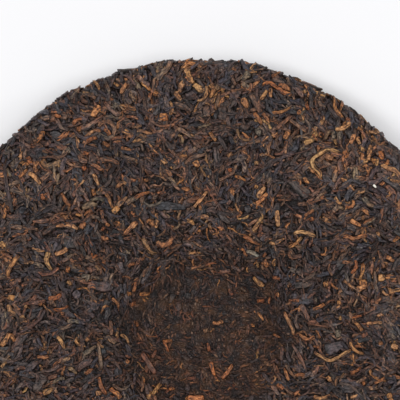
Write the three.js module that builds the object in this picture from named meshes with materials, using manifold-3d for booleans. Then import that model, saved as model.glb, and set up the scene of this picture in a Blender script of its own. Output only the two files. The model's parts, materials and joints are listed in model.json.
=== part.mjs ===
// A pressed disc of ripe pu erh tea, lying on its domed face with the dimpled back up.
//
// The leaf is steamed in a cloth bag and pressed under a stone, so the cake is one solid: a face that
// is flat in the middle and curves up to a rounded rim, a gently domed back, and in the middle of the
// back the dimple that the bag's knot leaves. The outline and both sides are a little uneven, and the
// largest leaves, buds and stems stand out of the surface as relief.
//
// Millimetres, +Z up. The origin is under the middle of the cake, on the surface that it rests on.

import * as THREE from "three";
import { mergeVertices } from "three/addons/utils/BufferGeometryUtils.js";
import Module from "manifold-3d";

// The cake's half section
const CAKE_RADIUS = 99;
const CAKE_HEIGHT = 24.5;
const NOSE_LENGTH = 6; // how far the round of the rim reaches past the shoulder
const SHOULDER_RADIUS = CAKE_RADIUS - NOSE_LENGTH;
const FOOT_RADIUS = 50; // the flat middle of the face, which the cake rests on
const FACE_RISE = 5.5; // from the foot up to the underside of the rim
const DOME_FALL = 7; // from the middle of the back down to the shoulder
const DOME_POWER = 3.2;
const DIMPLE_MOUTH_RADIUS = 39;
const DIMPLE_FLOOR_RADIUS = 17;
const DIMPLE_DEPTH = 9.5;
const DIMPLE_SHIFT = 2.5; // the knot lay a little off the middle, towards -Y

// The unevenness of a cake pressed by hand: waves round the outline, and lumps on both sides
const OUTLINE_WAVES = [
  { lobes: 2, size: 0.4, turn: 0.7 },
  { lobes: 3, size: 0.3, turn: 2.1 },
  { lobes: 7, size: 0.25, turn: 0.4 },
  { lobes: 17, size: 0.3, turn: 0.1 },
];
const LUMP_LENGTH = 46; // from one lump to the next
const LUMP_SIZE = 0.45;
const CRAG_SIZE = 0.4; // the leaf-sized relief, drawn anew for each point of the core
const FOOT_BLEND = 2; // the height above the foot over which the unevenness comes in

// The mesh of the core
const STEPS_ROUND = 90;
const RING_SPACING = 5.6;
const NOSE_RINGS = 5;

// The leaves that stand out of the surface
const SEED = 20357;
const PROUD = 0.75; // how far a leaf's back stands above the core
const SUNK = 0.9; // how far its underside is pressed in
const EDGE_LIFT = 0.1; // how far its long edges stand above the core
const TIP_SUNK = 0.2; // how far its tips are pressed in
const TABLE_GAP = 0.15; // no leaf on the face reaches lower than this
const STEM = { perSide: 5, length: [19, 27], width: [1.5, 2.0], bend: 0.25, rings: 4 };
const BLADE = { perSide: 10, length: [10, 15], width: [3.2, 4.6], bend: 0.3, rings: 3 };
const BUD = { perSide: 30, length: [9, 15], width: [1.7, 2.6], bend: 1.5, rings: 3 };
const LEAF_REACH = CAKE_RADIUS - 12; // the furthest that a leaf's middle lies from the cake's middle
const PLACE_JITTER = 0.6; // in radians, how far a leaf strays along its ring
const RIM_LEAVES = 23;
const RIM_TURN_RANGE = 0.5; // in radians, up and down the round of the rim
const RIM_HEADING_RANGE = 0.7; // in radians, off the line of the rim

const clamp01 = (x) => Math.min(1, Math.max(0, x));
const ease = (x) => x * x * (3 - 2 * x);

// Height of the back at a radius: a dome less the dimple.
function backHeight(r) {
  const dome = CAKE_HEIGHT - DOME_FALL * (r / SHOULDER_RADIUS) ** DOME_POWER;
  const inward = clamp01((DIMPLE_MOUTH_RADIUS - r) / (DIMPLE_MOUTH_RADIUS - DIMPLE_FLOOR_RADIUS));
  return dome - DIMPLE_DEPTH * ease(inward);
}

// Height of the face at a radius: the flat foot, then a curve up to the rim.
function faceHeight(r) {
  return FACE_RISE * clamp01((r - FOOT_RADIUS) / (SHOULDER_RADIUS - FOOT_RADIUS)) ** 2;
}

const NOSE_MIDDLE = (backHeight(SHOULDER_RADIUS) + faceHeight(SHOULDER_RADIUS)) / 2;
const NOSE_HALF = (backHeight(SHOULDER_RADIUS) - faceHeight(SHOULDER_RADIUS)) / 2;

// The half section as points (radius, height), from the foot's middle round the rim to the dimple's.
function halfSection() {
  const points = [new THREE.Vector2(0, 0)];
  for (const r of radiiBetween(FOOT_RADIUS)) points.push(new THREE.Vector2(r, faceHeight(r)));
  for (let i = 1; i < NOSE_RINGS; i++) {
    const angle = Math.PI * (i / NOSE_RINGS - 0.5);
    points.push(
      new THREE.Vector2(
        SHOULDER_RADIUS + NOSE_LENGTH * Math.cos(angle),
        NOSE_MIDDLE + NOSE_HALF * Math.sin(angle),
      ),
    );
  }
  for (const r of radiiBetween(0).reverse()) points.push(new THREE.Vector2(r, backHeight(r)));
  return points;
}

// The radii of the rings from `inner` out to the shoulder, about RING_SPACING apart.
function radiiBetween(inner) {
  const gaps = Math.round((SHOULDER_RADIUS - inner) / RING_SPACING);
  const radii = [];
  for (let i = 0; i <= gaps; i++) radii.push(inner + ((SHOULDER_RADIUS - inner) * i) / gaps);
  return radii;
}

// How far the outline reaches past the round disc, as a share of the radius.
function outlineShare(angle) {
  let reach = 0;
  for (const wave of OUTLINE_WAVES) reach += wave.size * Math.cos(wave.lobes * (angle + wave.turn));
  return reach / CAKE_RADIUS;
}

// A smooth field of hills and hollows, one every `length` millimetres, between -1 and 1.
function hills(x, y, length) {
  const k = (2 * Math.PI) / length;
  return (
    (Math.sin(k * x + 1.3 * Math.cos(0.61 * k * y)) +
      Math.sin(k * (0.53 * x + 0.85 * y) + 2.1) +
      Math.sin(k * (0.87 * y - 0.49 * x) + 4.4)) /
    3
  );
}

// Moves a point of the smooth disc to its place on the uneven cake. The foot stays flat.
function uneven(point) {
  const r = Math.hypot(point.x, point.y);
  const grow = 1 + outlineShare(Math.atan2(point.y, point.x)) * (r / CAKE_RADIUS);
  const lump = offFoot(point) * LUMP_SIZE * hills(point.x, point.y, LUMP_LENGTH);
  const slide = point.z > NOSE_MIDDLE ? DIMPLE_SHIFT * (1 - r / CAKE_RADIUS) : 0;
  return new THREE.Vector3(point.x * grow, point.y * grow - slide, point.z + lump);
}

// 0 on the foot, rising to 1 a little way above it.
function offFoot(point) {
  return clamp01(point.z / FOOT_BLEND);
}

// A geometry's triangles as a closed solid with shared vertices.
function solidOf(wasm, geometry) {
  const bare = geometry.clone();
  bare.deleteAttribute("normal");
  bare.deleteAttribute("uv");
  const merged = mergeVertices(bare, 1e-4);
  return new wasm.Manifold(
    new wasm.Mesh({
      numProp: 3,
      vertProperties: merged.attributes.position.array,
      triVerts: new Uint32Array(merged.index.array),
    }),
  );
}

function geometryOf(solid) {
  const mesh = solid.getMesh();
  const geometry = new THREE.BufferGeometry();
  geometry.setAttribute("position", new THREE.BufferAttribute(mesh.vertProperties, 3));
  geometry.setIndex(new THREE.BufferAttribute(mesh.triVerts, 1));
  return geometry;
}

// The core: the half section turned round the axis, stood on +Z and made uneven and craggy.
function coreGeometry() {
  const turned = new THREE.LatheGeometry(halfSection(), STEPS_ROUND);
  turned.rotateX(Math.PI / 2);
  turned.deleteAttribute("normal");
  turned.deleteAttribute("uv");
  const geometry = mergeVertices(turned, 1e-3);
  const position = geometry.attributes.position;
  const point = new THREE.Vector3();
  for (let i = 0; i < position.count; i++) {
    point.fromBufferAttribute(position, i);
    const moved = uneven(point);
    const outward = point.z > NOSE_MIDDLE ? 1 : -1;
    const crag = offFoot(point) * CRAG_SIZE * (2 * random() - 1);
    position.setXYZ(i, moved.x, moved.y, moved.z + outward * crag);
  }
  return geometry;
}

// Seeded random numbers, so that the cake is the same each time.
function seededRandom(seed) {
  let state = seed;
  return () => {
    state = (state * 1664525 + 1013904223) % 4294967296;
    return state / 4294967296;
  };
}

const random = seededRandom(SEED);
const between = ([low, high]) => low + (high - low) * random();

// One leaf as rings of four points along a curved line, closed by a tip at each end.
// `place(x, y, lift)` gives the point of the cake that lies `lift` above its surface there.
function leafGeometry(kind, place) {
  const length = between(kind.length);
  const halfWidth = between(kind.width) / 2;
  const bend = kind.bend * (random() - 0.5) * 2;
  const rings = [];
  for (let i = 0; i < kind.rings + 2; i++) {
    const along = i / (kind.rings + 1);
    const fullness = Math.sin(Math.PI * (0.12 + 0.76 * along));
    const turn = bend * (along - 0.5);
    const x = length * (along - 0.5) * Math.cos(turn / 2);
    const y = length * (along - 0.5) * Math.sin(turn / 2);
    rings.push({ x, y, turn, halfWidth: halfWidth * fullness, lift: PROUD * fullness });
  }
  const tipStart = rings.shift();
  const tipEnd = rings.pop();
  const points = [place(tipStart.x, tipStart.y, -TIP_SUNK)];
  for (const ring of rings) {
    const acrossX = -Math.sin(ring.turn) * ring.halfWidth;
    const acrossY = Math.cos(ring.turn) * ring.halfWidth;
    points.push(place(ring.x + acrossX, ring.y + acrossY, EDGE_LIFT));
    points.push(place(ring.x, ring.y, ring.lift));
    points.push(place(ring.x - acrossX, ring.y - acrossY, EDGE_LIFT));
    points.push(place(ring.x, ring.y, -SUNK));
  }
  points.push(place(tipEnd.x, tipEnd.y, -TIP_SUNK));
  const last = points.length - 1;
  const faces = [];
  for (let side = 0; side < 4; side++) {
    const next = (side + 1) % 4;
    faces.push(0, 1 + next, 1 + side);
    for (let ring = 0; ring < rings.length - 1; ring++) {
      const a = 1 + 4 * ring;
      faces.push(a + side, a + next, a + 4 + side, a + next, a + 4 + next, a + 4 + side);
    }
    faces.push(last, last - 4 + side, last - 4 + next);
  }
  const geometry = new THREE.BufferGeometry().setFromPoints(points);
  geometry.setIndex(faces);
  return geometry;
}

// Gives the point at (x, y) of a leaf that lies on one side of the cake.
function placeOnSide(side, middleX, middleY, heading) {
  const height = side === "back" ? backHeight : faceHeight;
  const up = side === "back" ? 1 : -1;
  return (x, y, lift) => {
    const px = middleX + x * Math.cos(heading) - up * y * Math.sin(heading);
    const py = middleY + x * Math.sin(heading) + up * y * Math.cos(heading);
    const r = Math.min(Math.hypot(px, py), SHOULDER_RADIUS);
    const surface = uneven(new THREE.Vector3(px, py, height(r)));
    surface.z = Math.max(surface.z + up * lift, TABLE_GAP);
    return surface;
  };
}

// Gives the point of a leaf that lies across or along the rim.
function placeOnRim(middleAngle, middleTurn, heading) {
  return (x, y, lift) => {
    const along = x * Math.cos(heading) - y * Math.sin(heading);
    const across = x * Math.sin(heading) + y * Math.cos(heading);
    const turn = middleTurn + across / NOSE_LENGTH;
    const angle = middleAngle + along / CAKE_RADIUS;
    const r = SHOULDER_RADIUS + (NOSE_LENGTH + lift) * Math.cos(turn);
    const z = NOSE_MIDDLE + (NOSE_HALF + lift) * Math.sin(turn);
    return uneven(new THREE.Vector3(r * Math.cos(angle), r * Math.sin(angle), z));
  };
}

// Places that spread evenly over a disc: a sunflower's spiral, each a little off its place.
function spread(count, inner, outer) {
  const goldenAngle = Math.PI * (3 - Math.sqrt(5));
  const places = [];
  for (let i = 0; i < count; i++) {
    const share = (i + random()) / count;
    const r = Math.sqrt(inner * inner + (outer * outer - inner * inner) * share);
    const angle = i * goldenAngle + PLACE_JITTER * random();
    places.push([r * Math.cos(angle), r * Math.sin(angle)]);
  }
  return places;
}

function leafSolids(wasm) {
  const solids = [];
  for (const side of ["back", "face"]) {
    const inner = side === "back" ? 0 : FOOT_RADIUS + 8; // nothing stands out of the flat foot
    for (const kind of [STEM, BLADE, BUD]) {
      const share = 1 - (inner / LEAF_REACH) ** 2;
      for (const [x, y] of spread(Math.round(kind.perSide * share), inner, LEAF_REACH)) {
        const place = placeOnSide(side, x, y, 2 * Math.PI * random());
        solids.push(solidOf(wasm, leafGeometry(kind, place)));
      }
    }
  }
  for (let i = 0; i < RIM_LEAVES; i++) {
    const angle = (2 * Math.PI * (i + random())) / RIM_LEAVES;
    const turn = RIM_TURN_RANGE * (random() - 0.5);
    const heading = RIM_HEADING_RANGE * (random() - 0.5);
    solids.push(solidOf(wasm, leafGeometry(BUD, placeOnRim(angle, turn, heading))));
  }
  return solids;
}

// Sets the cake's middle over the origin and its foot on the ground.
function centred(geometry) {
  geometry.computeBoundingBox();
  const { min, max } = geometry.boundingBox;
  return geometry.translate(-(min.x + max.x) / 2, -(min.y + max.y) / 2, -min.z);
}

function teaLeafFinish() {
  return new THREE.MeshStandardMaterial({
    name: "pressed_tea_leaf",
    color: new THREE.Color("#47372f"),
    roughness: 0.62,
    metalness: 0,
  });
}

const wasm = await Module();
wasm.setup();

let cakeSolid = solidOf(wasm, coreGeometry());
for (const leaf of leafSolids(wasm)) cakeSolid = cakeSolid.add(leaf);

const cake = new THREE.Mesh(centred(geometryOf(cakeSolid)), teaLeafFinish());
cake.name = "tea_cake";

const group = new THREE.Group();
group.add(cake);

export default group;
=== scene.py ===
# %% [markdown]
# A pressed disc of ripe pu erh tea, lying with its dimpled back up.
#
# The real cake is thousands of rolled leaves, downy golden buds, broken blades and stems. They were
# steamed soft in a cloth bag and pressed flat against each other under a stone. So it is made here the
# way it was made there: a dark body in the cake's form, and real leaf shapes pressed onto it in layers,
# the crumbs first and the golden buds last. Bump on a smooth disc would look flat at the rim and in the
# gaps, where the eye sees each leaf's thickness and the black shadow between two leaves.
#
# Everything is in metres. Sizes are written in millimetres times MM.

# %% Load the frame
import json
import math
import random

import bpy
from mathutils import Matrix, Vector, noise
from mathutils.bvhtree import BVHTree
from mathutils.geometry import interpolate_bezier

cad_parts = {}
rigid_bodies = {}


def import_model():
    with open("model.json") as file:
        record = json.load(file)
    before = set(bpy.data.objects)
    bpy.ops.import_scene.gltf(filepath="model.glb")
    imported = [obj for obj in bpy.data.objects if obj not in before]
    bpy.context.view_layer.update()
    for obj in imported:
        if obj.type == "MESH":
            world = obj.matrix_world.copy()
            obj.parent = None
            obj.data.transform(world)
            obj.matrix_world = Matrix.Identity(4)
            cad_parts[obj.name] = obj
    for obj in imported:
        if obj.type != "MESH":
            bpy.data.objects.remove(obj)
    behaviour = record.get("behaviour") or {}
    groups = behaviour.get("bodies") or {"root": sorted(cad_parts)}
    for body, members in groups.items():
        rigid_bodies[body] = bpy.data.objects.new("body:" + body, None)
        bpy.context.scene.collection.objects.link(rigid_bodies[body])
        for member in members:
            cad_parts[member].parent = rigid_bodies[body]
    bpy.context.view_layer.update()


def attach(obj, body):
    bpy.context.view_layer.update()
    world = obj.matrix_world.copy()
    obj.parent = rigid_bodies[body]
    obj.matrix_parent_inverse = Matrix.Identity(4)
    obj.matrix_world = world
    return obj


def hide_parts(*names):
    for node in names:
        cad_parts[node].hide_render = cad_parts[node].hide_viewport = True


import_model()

MM = 0.001
CAKE_NODE = "tea_cake"

# %% [markdown]
# One small function adds a node, for shaders and Geometry Nodes alike. A setting goes on the node when
# the node has a property of that name, and otherwise on its input. Only the inputs that are switched
# on count, because many nodes hold several inputs of one name.

# %% Adding a node
def pick(sockets, name):
    """The socket of that name that is switched on, or the one at that place in the list."""
    if isinstance(name, int):
        return sockets[name]
    return next(socket for socket in sockets if socket.name == name and socket.enabled)


def add(tree, kind, settings=None, links=None):
    """Adds a node. settings are its properties and inputs, links name what feeds each input."""
    node = tree.nodes.new(kind)
    for name, value in (settings or {}).items():
        if isinstance(name, str) and hasattr(node, name):
            setattr(node, name, value)
        else:
            pick(node.inputs, name).default_value = value
    for name, (source, output) in (links or {}).items():
        tree.links.new(pick(source.outputs, output), pick(node.inputs, name))
    return node


print("The nodes are those of Blender", bpy.app.version_string)

# %% [markdown]
# The camera looks down on the cake from a little under arm's length, as in the photograph. There the
# round outline has its middle at one pixel and a radius in pixels, and those two give the scale and
# where the camera aims. The camera stands straight above the cake's middle and is tilted a little up
# the picture, so the outline stays round.

# %% The camera
IMAGE_SIDE = 400
CAKE_PIXEL = Vector((197.7, 322.6))  # the middle of the outline in the photograph
CAKE_PIXEL_RADIUS = 262.9
OUTLINE_RADIUS = 99.6 * MM
OUTLINE_HEIGHT = 11.5 * MM  # the height at which the rim is widest
METRES_PER_PIXEL = OUTLINE_RADIUS / CAKE_PIXEL_RADIUS
CAMERA_HEIGHT = 600 * MM
AIM_SHIFT = Vector((-1.25 * MM, -0.7 * MM))  # the lobes move the outline's middle by this much
SENSOR_WIDTH = 36.0


def from_pixel(x, y):
    """The place in the plane of the rim, in metres, that a pixel of the photograph shows."""
    return Vector(((x - CAKE_PIXEL.x) * METRES_PER_PIXEL, (CAKE_PIXEL.y - y) * METRES_PER_PIXEL))


def add_camera():
    place = Vector((0, 0, CAMERA_HEIGHT))
    aim = (from_pixel(IMAGE_SIDE / 2, IMAGE_SIDE / 2) + AIM_SHIFT).to_3d()
    aim.z = OUTLINE_HEIGHT
    data = bpy.data.cameras.new("camera")
    data.sensor_width = SENSOR_WIDTH
    data.lens = SENSOR_WIDTH * (aim - place).length / (IMAGE_SIDE * METRES_PER_PIXEL)
    data.clip_start = 10 * MM
    camera = bpy.data.objects.new("camera", data)
    camera.location = place
    sight = (aim - place).normalized()
    right = sight.cross(Vector((0, 1, 0))).normalized()
    camera.rotation_euler = Matrix((right, right.cross(sight), -sight)).transposed().to_euler()
    bpy.context.scene.collection.objects.link(camera)
    bpy.context.scene.camera = camera
    return camera


camera = add_camera()
print(f"The lens is {camera.data.lens:.0f} mm, and a pixel is {METRES_PER_PIXEL / MM:.2f} mm of cake")

# %% [markdown]
# The form of the cake is a half section turned round its axis. It has a flat foot on the face, a gentle
# curve up to the rounded rim, a low dome on the back, and the dimple that the knot of the bag left. It
# could be sculpted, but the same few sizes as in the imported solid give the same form, so each leaf
# lands where the solid is.

# %% The cake's form
CAKE_RADIUS = 99 * MM
CAKE_HEIGHT = 24.5 * MM
NOSE_LENGTH = 6 * MM  # how far the round of the rim reaches past the shoulder
SHOULDER_RADIUS = CAKE_RADIUS - NOSE_LENGTH
FOOT_RADIUS = 50 * MM
FACE_RISE = 5.5 * MM
DOME_FALL = 7 * MM
DOME_POWER = 3.2
DIMPLE_MOUTH_RADIUS = 39 * MM
DIMPLE_FLOOR_RADIUS = 17 * MM
DIMPLE_DEPTH = 9.5 * MM
DIMPLE_SHIFT = 2.5 * MM
OUTLINE_WAVES = (  # lobes round the outline, size, turn in radians
    (2, 0.4 * MM, 0.7),
    (3, 0.3 * MM, 2.1),
    (7, 0.25 * MM, 0.4),
    (17, 0.3 * MM, 0.1),
)
LUMP_LENGTH = 46 * MM
LUMP_SIZE = 0.45 * MM
FOOT_BLEND = 2 * MM


def clamp01(x):
    return min(1.0, max(0.0, x))


def ease(x):
    return x * x * (3 - 2 * x)


def back_height(r):
    """Height of the back at a radius: a dome less the dimple."""
    inward = clamp01((DIMPLE_MOUTH_RADIUS - r) / (DIMPLE_MOUTH_RADIUS - DIMPLE_FLOOR_RADIUS))
    return CAKE_HEIGHT - DOME_FALL * (r / SHOULDER_RADIUS) ** DOME_POWER - DIMPLE_DEPTH * ease(inward)


def face_height(r):
    """Height of the face at a radius: the flat foot, then a curve up to the rim."""
    return FACE_RISE * clamp01((r - FOOT_RADIUS) / (SHOULDER_RADIUS - FOOT_RADIUS)) ** 2


NOSE_MIDDLE = (back_height(SHOULDER_RADIUS) + face_height(SHOULDER_RADIUS)) / 2
NOSE_HALF = (back_height(SHOULDER_RADIUS) - face_height(SHOULDER_RADIUS)) / 2


def half_section(spacing):
    """The section as (radius, height), from near the foot's middle round the rim to the dimple's."""
    rings = round(SHOULDER_RADIUS / spacing)
    radii = [SHOULDER_RADIUS * (i + 1) / rings for i in range(rings)]
    nose_rings = round(math.pi * NOSE_HALF / spacing)
    section = [(r, face_height(r)) for r in radii]
    for i in range(1, nose_rings):
        angle = math.pi * (i / nose_rings - 0.5)
        nose_r = SHOULDER_RADIUS + NOSE_LENGTH * math.cos(angle)
        section.append((nose_r, NOSE_MIDDLE + NOSE_HALF * math.sin(angle)))
    return section + [(r, back_height(r)) for r in reversed(radii)]


def hills(x, y, length):
    """A smooth field of hills and hollows between -1 and 1, one every `length`.

    It is the mean of three waves that run three ways, so that no row of hills shows.
    """
    pace = 2 * math.pi / length
    first = math.sin(pace * x + 1.3 * math.cos(0.61 * pace * y))
    second = math.sin(pace * (0.53 * x + 0.85 * y) + 2.1)
    return (first + second + math.sin(pace * (0.87 * y - 0.49 * x) + 4.4)) / 3


def uneven(x, y, z):
    """Moves a point of the smooth disc to its place on the uneven cake, as in the solid."""
    r, angle = math.hypot(x, y), math.atan2(y, x)
    waves = sum(size * math.cos(lobes * (angle + turn)) for lobes, size, turn in OUTLINE_WAVES)
    grow = 1 + waves / CAKE_RADIUS * (r / CAKE_RADIUS)
    lump = clamp01(z / FOOT_BLEND) * LUMP_SIZE * hills(x, y, LUMP_LENGTH)
    slide = DIMPLE_SHIFT * (1 - r / CAKE_RADIUS) if z > NOSE_MIDDLE else 0
    return Vector((x * grow, y * grow - slide, z + lump))


print(f"The rim is {2 * NOSE_HALF / MM:.1f} mm thick, and the dimple is {DIMPLE_DEPTH / MM} mm deep")

# %% [markdown]
# Two closed discs come from that section. One is the guide, which is never shown: the leaves are
# pressed onto it. The other is the body of the cake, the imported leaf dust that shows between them. Both
# lie a little inside the real surface, because the leaves add their own thickness outside. Under the
# foot they lie deeper, where the press flattened the leaves, so that no leaf reaches under the table.

# %% Turned discs
GUIDE_INSET = 0.5 * MM
FOOT_INSET = 1.1 * MM  # how much deeper both discs lie under the foot
FOOT_INSET_BLEND = 1.6 * MM  # the height above the table at which that has run out


def guide_offset(place):
    """How far the guide lies from the real surface at a place: outwards is positive."""
    above_foot = clamp01(place.z / FOOT_INSET_BLEND)
    return -GUIDE_INSET - FOOT_INSET * (1 - above_foot)


def turned_disc(name, spacing, steps, offset):
    """A closed disc turned from the half section, then moved out along its normals by offset(place)."""
    section = half_section(spacing)
    points = [uneven(0, 0, 0)]
    for r, z in section:
        angles = (2 * math.pi * step / steps for step in range(steps))
        points.extend(uneven(r * math.cos(a), r * math.sin(a), z) for a in angles)
    points.append(uneven(0, 0, back_height(0)))
    last = len(points) - 1
    faces = []
    for step in range(steps):
        following = (step + 1) % steps
        faces.append((0, 1 + following, 1 + step))
        for ring in range(len(section) - 1):
            low, high = 1 + ring * steps, 1 + (ring + 1) * steps
            faces.append((low + step, low + following, high + following, high + step))
        faces.append((last - steps + step, last - steps + following, last))
    mesh = bpy.data.meshes.new(name)
    mesh.from_pydata(points, [], faces)
    mesh.shade_smooth()
    normals = [normal.vector.copy() for normal in mesh.vertex_normals]
    for vertex, normal in zip(mesh.vertices, normals):
        vertex.co += normal * offset(vertex.co)
    piece = bpy.data.objects.new(name, mesh)
    bpy.context.scene.collection.objects.link(piece)
    return piece


guide = turned_disc("guide", spacing=1.2 * MM, steps=260, offset=guide_offset)
print("The guide has", len(guide.data.polygons), "faces")

# %% [markdown]
# Ripe leaf is nearly black in the body of the cake, and it gets browner and more golden towards the
# buds. All the leaf finishes share one recipe. Each leaf has a tone and a cast of its own, drawn at
# random, from reddish to olive and from warm brown to slate. Fine streaks run along it, because a rolled
# leaf shows the ridges of its veins. Its grooves and its edges are darkened by a painted shade, where
# less light gets in, and a mottle finer than a millimetre breaks its skin. A soft patchiness runs over
# many leaves, as some came from the top of the bag and some from its side. The dimple was pressed
# hardest: it is a shade warmer and darker, partly from the press and partly by a painted shade of the
# hollow, and a film of tea dust lies over its leaves. The sizes and tints of all this come first.

# %% Sizes and tints of a leaf
def linear(hex_colour):
    """An sRGB hex colour as the linear colour that Blender's sockets hold."""
    channels = (int(hex_colour[i : i + 2], 16) / 255 for i in (1, 3, 5))
    return [c / 12.92 if c <= 0.04045 else ((c + 0.055) / 1.055) ** 2.4 for c in channels] + [1.0]


STREAKS_ACROSS = 1.6  # a leaf 1.2 mm wide shows about three ridges, each about a pixel wide
STREAKS_ALONG = 1.7  # and they change about every 1.5 mm along a leaf 5 mm long
TONE_SPREAD = 37.0  # sets each leaf's streaks apart from its neighbour's
HUE_SPREAD = 911.0  # so large that leaves of nearly one tone still draw hues of their own
PATCH_SIZE = 15 * MM
DIMPLE_CENTRE = (0.0, -DIMPLE_SHIFT, CAKE_HEIGHT - DIMPLE_DEPTH / 2)
# The knot's mark darkens the dimple: partly the press, and partly a painted shade of the hollow.
MARK_SHIFT = (2.5 * MM, -4 * MM, 0.0)  # the knot's dark mark lies a little off the dimple's middle
MARK_CENTRE = tuple(middle + shift for middle, shift in zip(DIMPLE_CENTRE, MARK_SHIFT))
PRESSED_RADII = (26 * MM, 35 * MM)  # where the knot pressed hardest, and where its mark ends
SIDE_STRETCH = (1.0, 1.0, 2.0)  # so that the dimple's shade stays off the underside
FOLD_SIZE = 16 * MM  # the bag's folds round its knot make the edge of the mark wander
FOLD_SWAY = 16 * MM
LEAF_IOR = 1.45
STREAK_DEPTH = 0.25 * MM
EDGE_SHADE_START = 0.58  # how far across a leaf the dark of its edge begins, from 0 at the middle to 1
WARM_TINT = "#ffd9be"
COOL_TINT = "#d3e6fb"
RED_TINT = "#fff1f1"
OLIVE_TINT = "#f5f5de"
HUE_PATCH_SIZE = 6 * MM
HUE_PATCH_WEIGHT = 2.0
# The colour of the painted shade at the edges of leaves and round the scraps of the bed.
EDGE_SHADE_TINT = "#4a4343"
STREAK_CONTRAST = (0.36, 0.64)  # the part of the noise's range that shows
GROOVE_RANGE = (0.36, 0.5)  # the streaks' lowest values, where a groove runs between two ridges
# The colour of the painted shade in the grooves between a leaf's ridges.
GROOVE_SHADE_TINT = "#625a5c"
TONE_RANGE = (0.17, 0.83)
MOTTLE_SIZE = 0.8 * MM  # dust and torn skin, about two pixels across
MOTTLE_RANGE = (0.36, 0.6)
MOTTLE_TINT = "#b4afb0"
# The dimple's tint: a warmer colour from the press, and a painted shade of the hollow.
DIMPLE_TINT_AND_SHADE = "#fae7db"
DUST_SIZE = 4.5 * MM
DUST_SHARE = 0.16
DUST_STOPS = ((0.36, "#2c2c31"), (0.5, "#543f37"), (0.64, "#9a6d4b"))
print("A mottle is", round(MOTTLE_SIZE / METRES_PER_PIXEL, 1), "pixels wide")

# %% [markdown]
# The knot's mark is a distance from its middle, measured in the cake's own space. A noise makes its edge
# wander. Painting it by hand would give the same edge, but it would have to be unrolled onto each piece.

# %% The mark of the knot
def outward(tree, place, radii):
    """A value from 0 inside the first of two radii about the dimple to 1 outside the second."""
    away = add(tree, "ShaderNodeVectorMath", {"operation": "SUBTRACT", 1: MARK_CENTRE}, {0: place})
    wide = add(
        tree,
        "ShaderNodeVectorMath",
        {"operation": "MULTIPLY", 1: SIDE_STRETCH},
        {0: (away, "Vector")},
    )
    length = add(tree, "ShaderNodeVectorMath", {"operation": "LENGTH"}, {0: (wide, "Vector")})
    folds = add(tree, "ShaderNodeTexNoise", {"Scale": 1 / FOLD_SIZE, "Detail": 1.0}, {"Vector": place})
    return add(
        tree,
        "ShaderNodeMapRange",
        {
            "interpolation_type": "SMOOTHSTEP",
            "From Min": radii[0],
            "From Max": radii[1],
        },
        {"Value": weighed(tree, (folds, "Fac"), FOLD_SWAY, (length, "Value"))},
    )


print("The mark ends", PRESSED_RADII[1] / MM, "mm from its middle")

# %% [markdown]
# Colours are mixed in linear light, because that is how light adds up. A tint is multiplied in, since
# dirt, shadow and age take light away. The dust alone is laid over the leaf, as it hides what lies below.

# %% Mixing colours
def multiplied(tree, colour, tint, factor=None):
    """colour times tint. Each is a node's output, and factor is how much of the tint is applied."""
    links = {"A": colour, "B": tint}
    if factor:
        links["Factor"] = factor
    mix = add(
        tree,
        "ShaderNodeMix",
        {"data_type": "RGBA", "blend_type": "MULTIPLY", "Factor": 1.0},
        links,
    )
    return (mix, "Result")


def two_colours(tree, factor, first, second):
    """A mix of two hex colours by a node's output."""
    mix = add(
        tree,
        "ShaderNodeMix",
        {"data_type": "RGBA", "A": linear(first), "B": linear(second)},
        {"Factor": factor},
    )
    return (mix, "Result")


def ramped(tree, factor, stops):
    """A colour ramp with those (position, hex) stops."""
    ramp = add(tree, "ShaderNodeValToRGB", {}, {"Fac": factor})
    elements = ramp.color_ramp.elements
    elements[0].position, elements[1].position = stops[0][0], stops[-1][0]
    elements[0].color, elements[1].color = linear(stops[0][1]), linear(stops[-1][1])
    for position, hex_colour in stops[1:-1]:
        elements.new(position).color = linear(hex_colour)
    return (ramp, "Color")


def weighed(tree, value, weight, sum_so_far):
    """sum_so_far plus weight times (value - 0.5), for a noise that swings about a half."""
    centred = add(tree, "ShaderNodeMath", {"operation": "SUBTRACT", 1: 0.5}, {0: value})
    total = add(
        tree,
        "ShaderNodeMath",
        {"operation": "MULTIPLY_ADD", 1: weight},
        {0: (centred, "Value"), 2: sum_so_far},
    )
    return (total, "Value")


def dusted(tree, colour, place, outside, dust_share):
    """colour under a film of tea dust, which the knot pressed into the dimple."""
    film = add(
        tree,
        "ShaderNodeTexNoise",
        {"Scale": 1 / DUST_SIZE, "Detail": 3.0},
        {"Vector": place},
    )
    share = add(
        tree,
        "ShaderNodeMapRange",
        {"To Min": dust_share, "To Max": 0.0},
        {"Value": outside},
    )
    mix = add(
        tree,
        "ShaderNodeMix",
        {"data_type": "RGBA"},
        {"Factor": (share, "Result"), "A": colour, "B": ramped(tree, (film, "Fac"), DUST_STOPS)},
    )
    return (mix, "Result")


print(f"The dust takes {DUST_SHARE:.0%} of the colour in the middle of the mark")

# %% [markdown]
# One function makes the finish of any leaf from the colours of its kind. It reads three numbers that
# each point of a leaf carries, its tone and where it is along and across, so the pattern follows the
# leaf wherever it lies. The mottle and the patches read the place on the cake instead.

# %% Leaf finish
def surface_of(tree, colour, height, depth, roughness):
    """The Principled surface of a leaf and the material's output."""
    bump = add(tree, "ShaderNodeBump", {"Strength": 1.0, "Distance": depth}, {"Height": height})
    surface = add(
        tree,
        "ShaderNodeBsdfPrincipled",
        {"Roughness": roughness, "IOR": LEAF_IOR},
        {"Base Color": colour, "Normal": (bump, "Normal")},
    )
    add(tree, "ShaderNodeOutputMaterial", {}, {"Surface": (surface, "BSDF")})


def new_finish(name):
    """An empty node material."""
    material = bpy.data.materials.new(name)
    material.use_nodes = True
    material.node_tree.nodes.clear()
    return material


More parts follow.
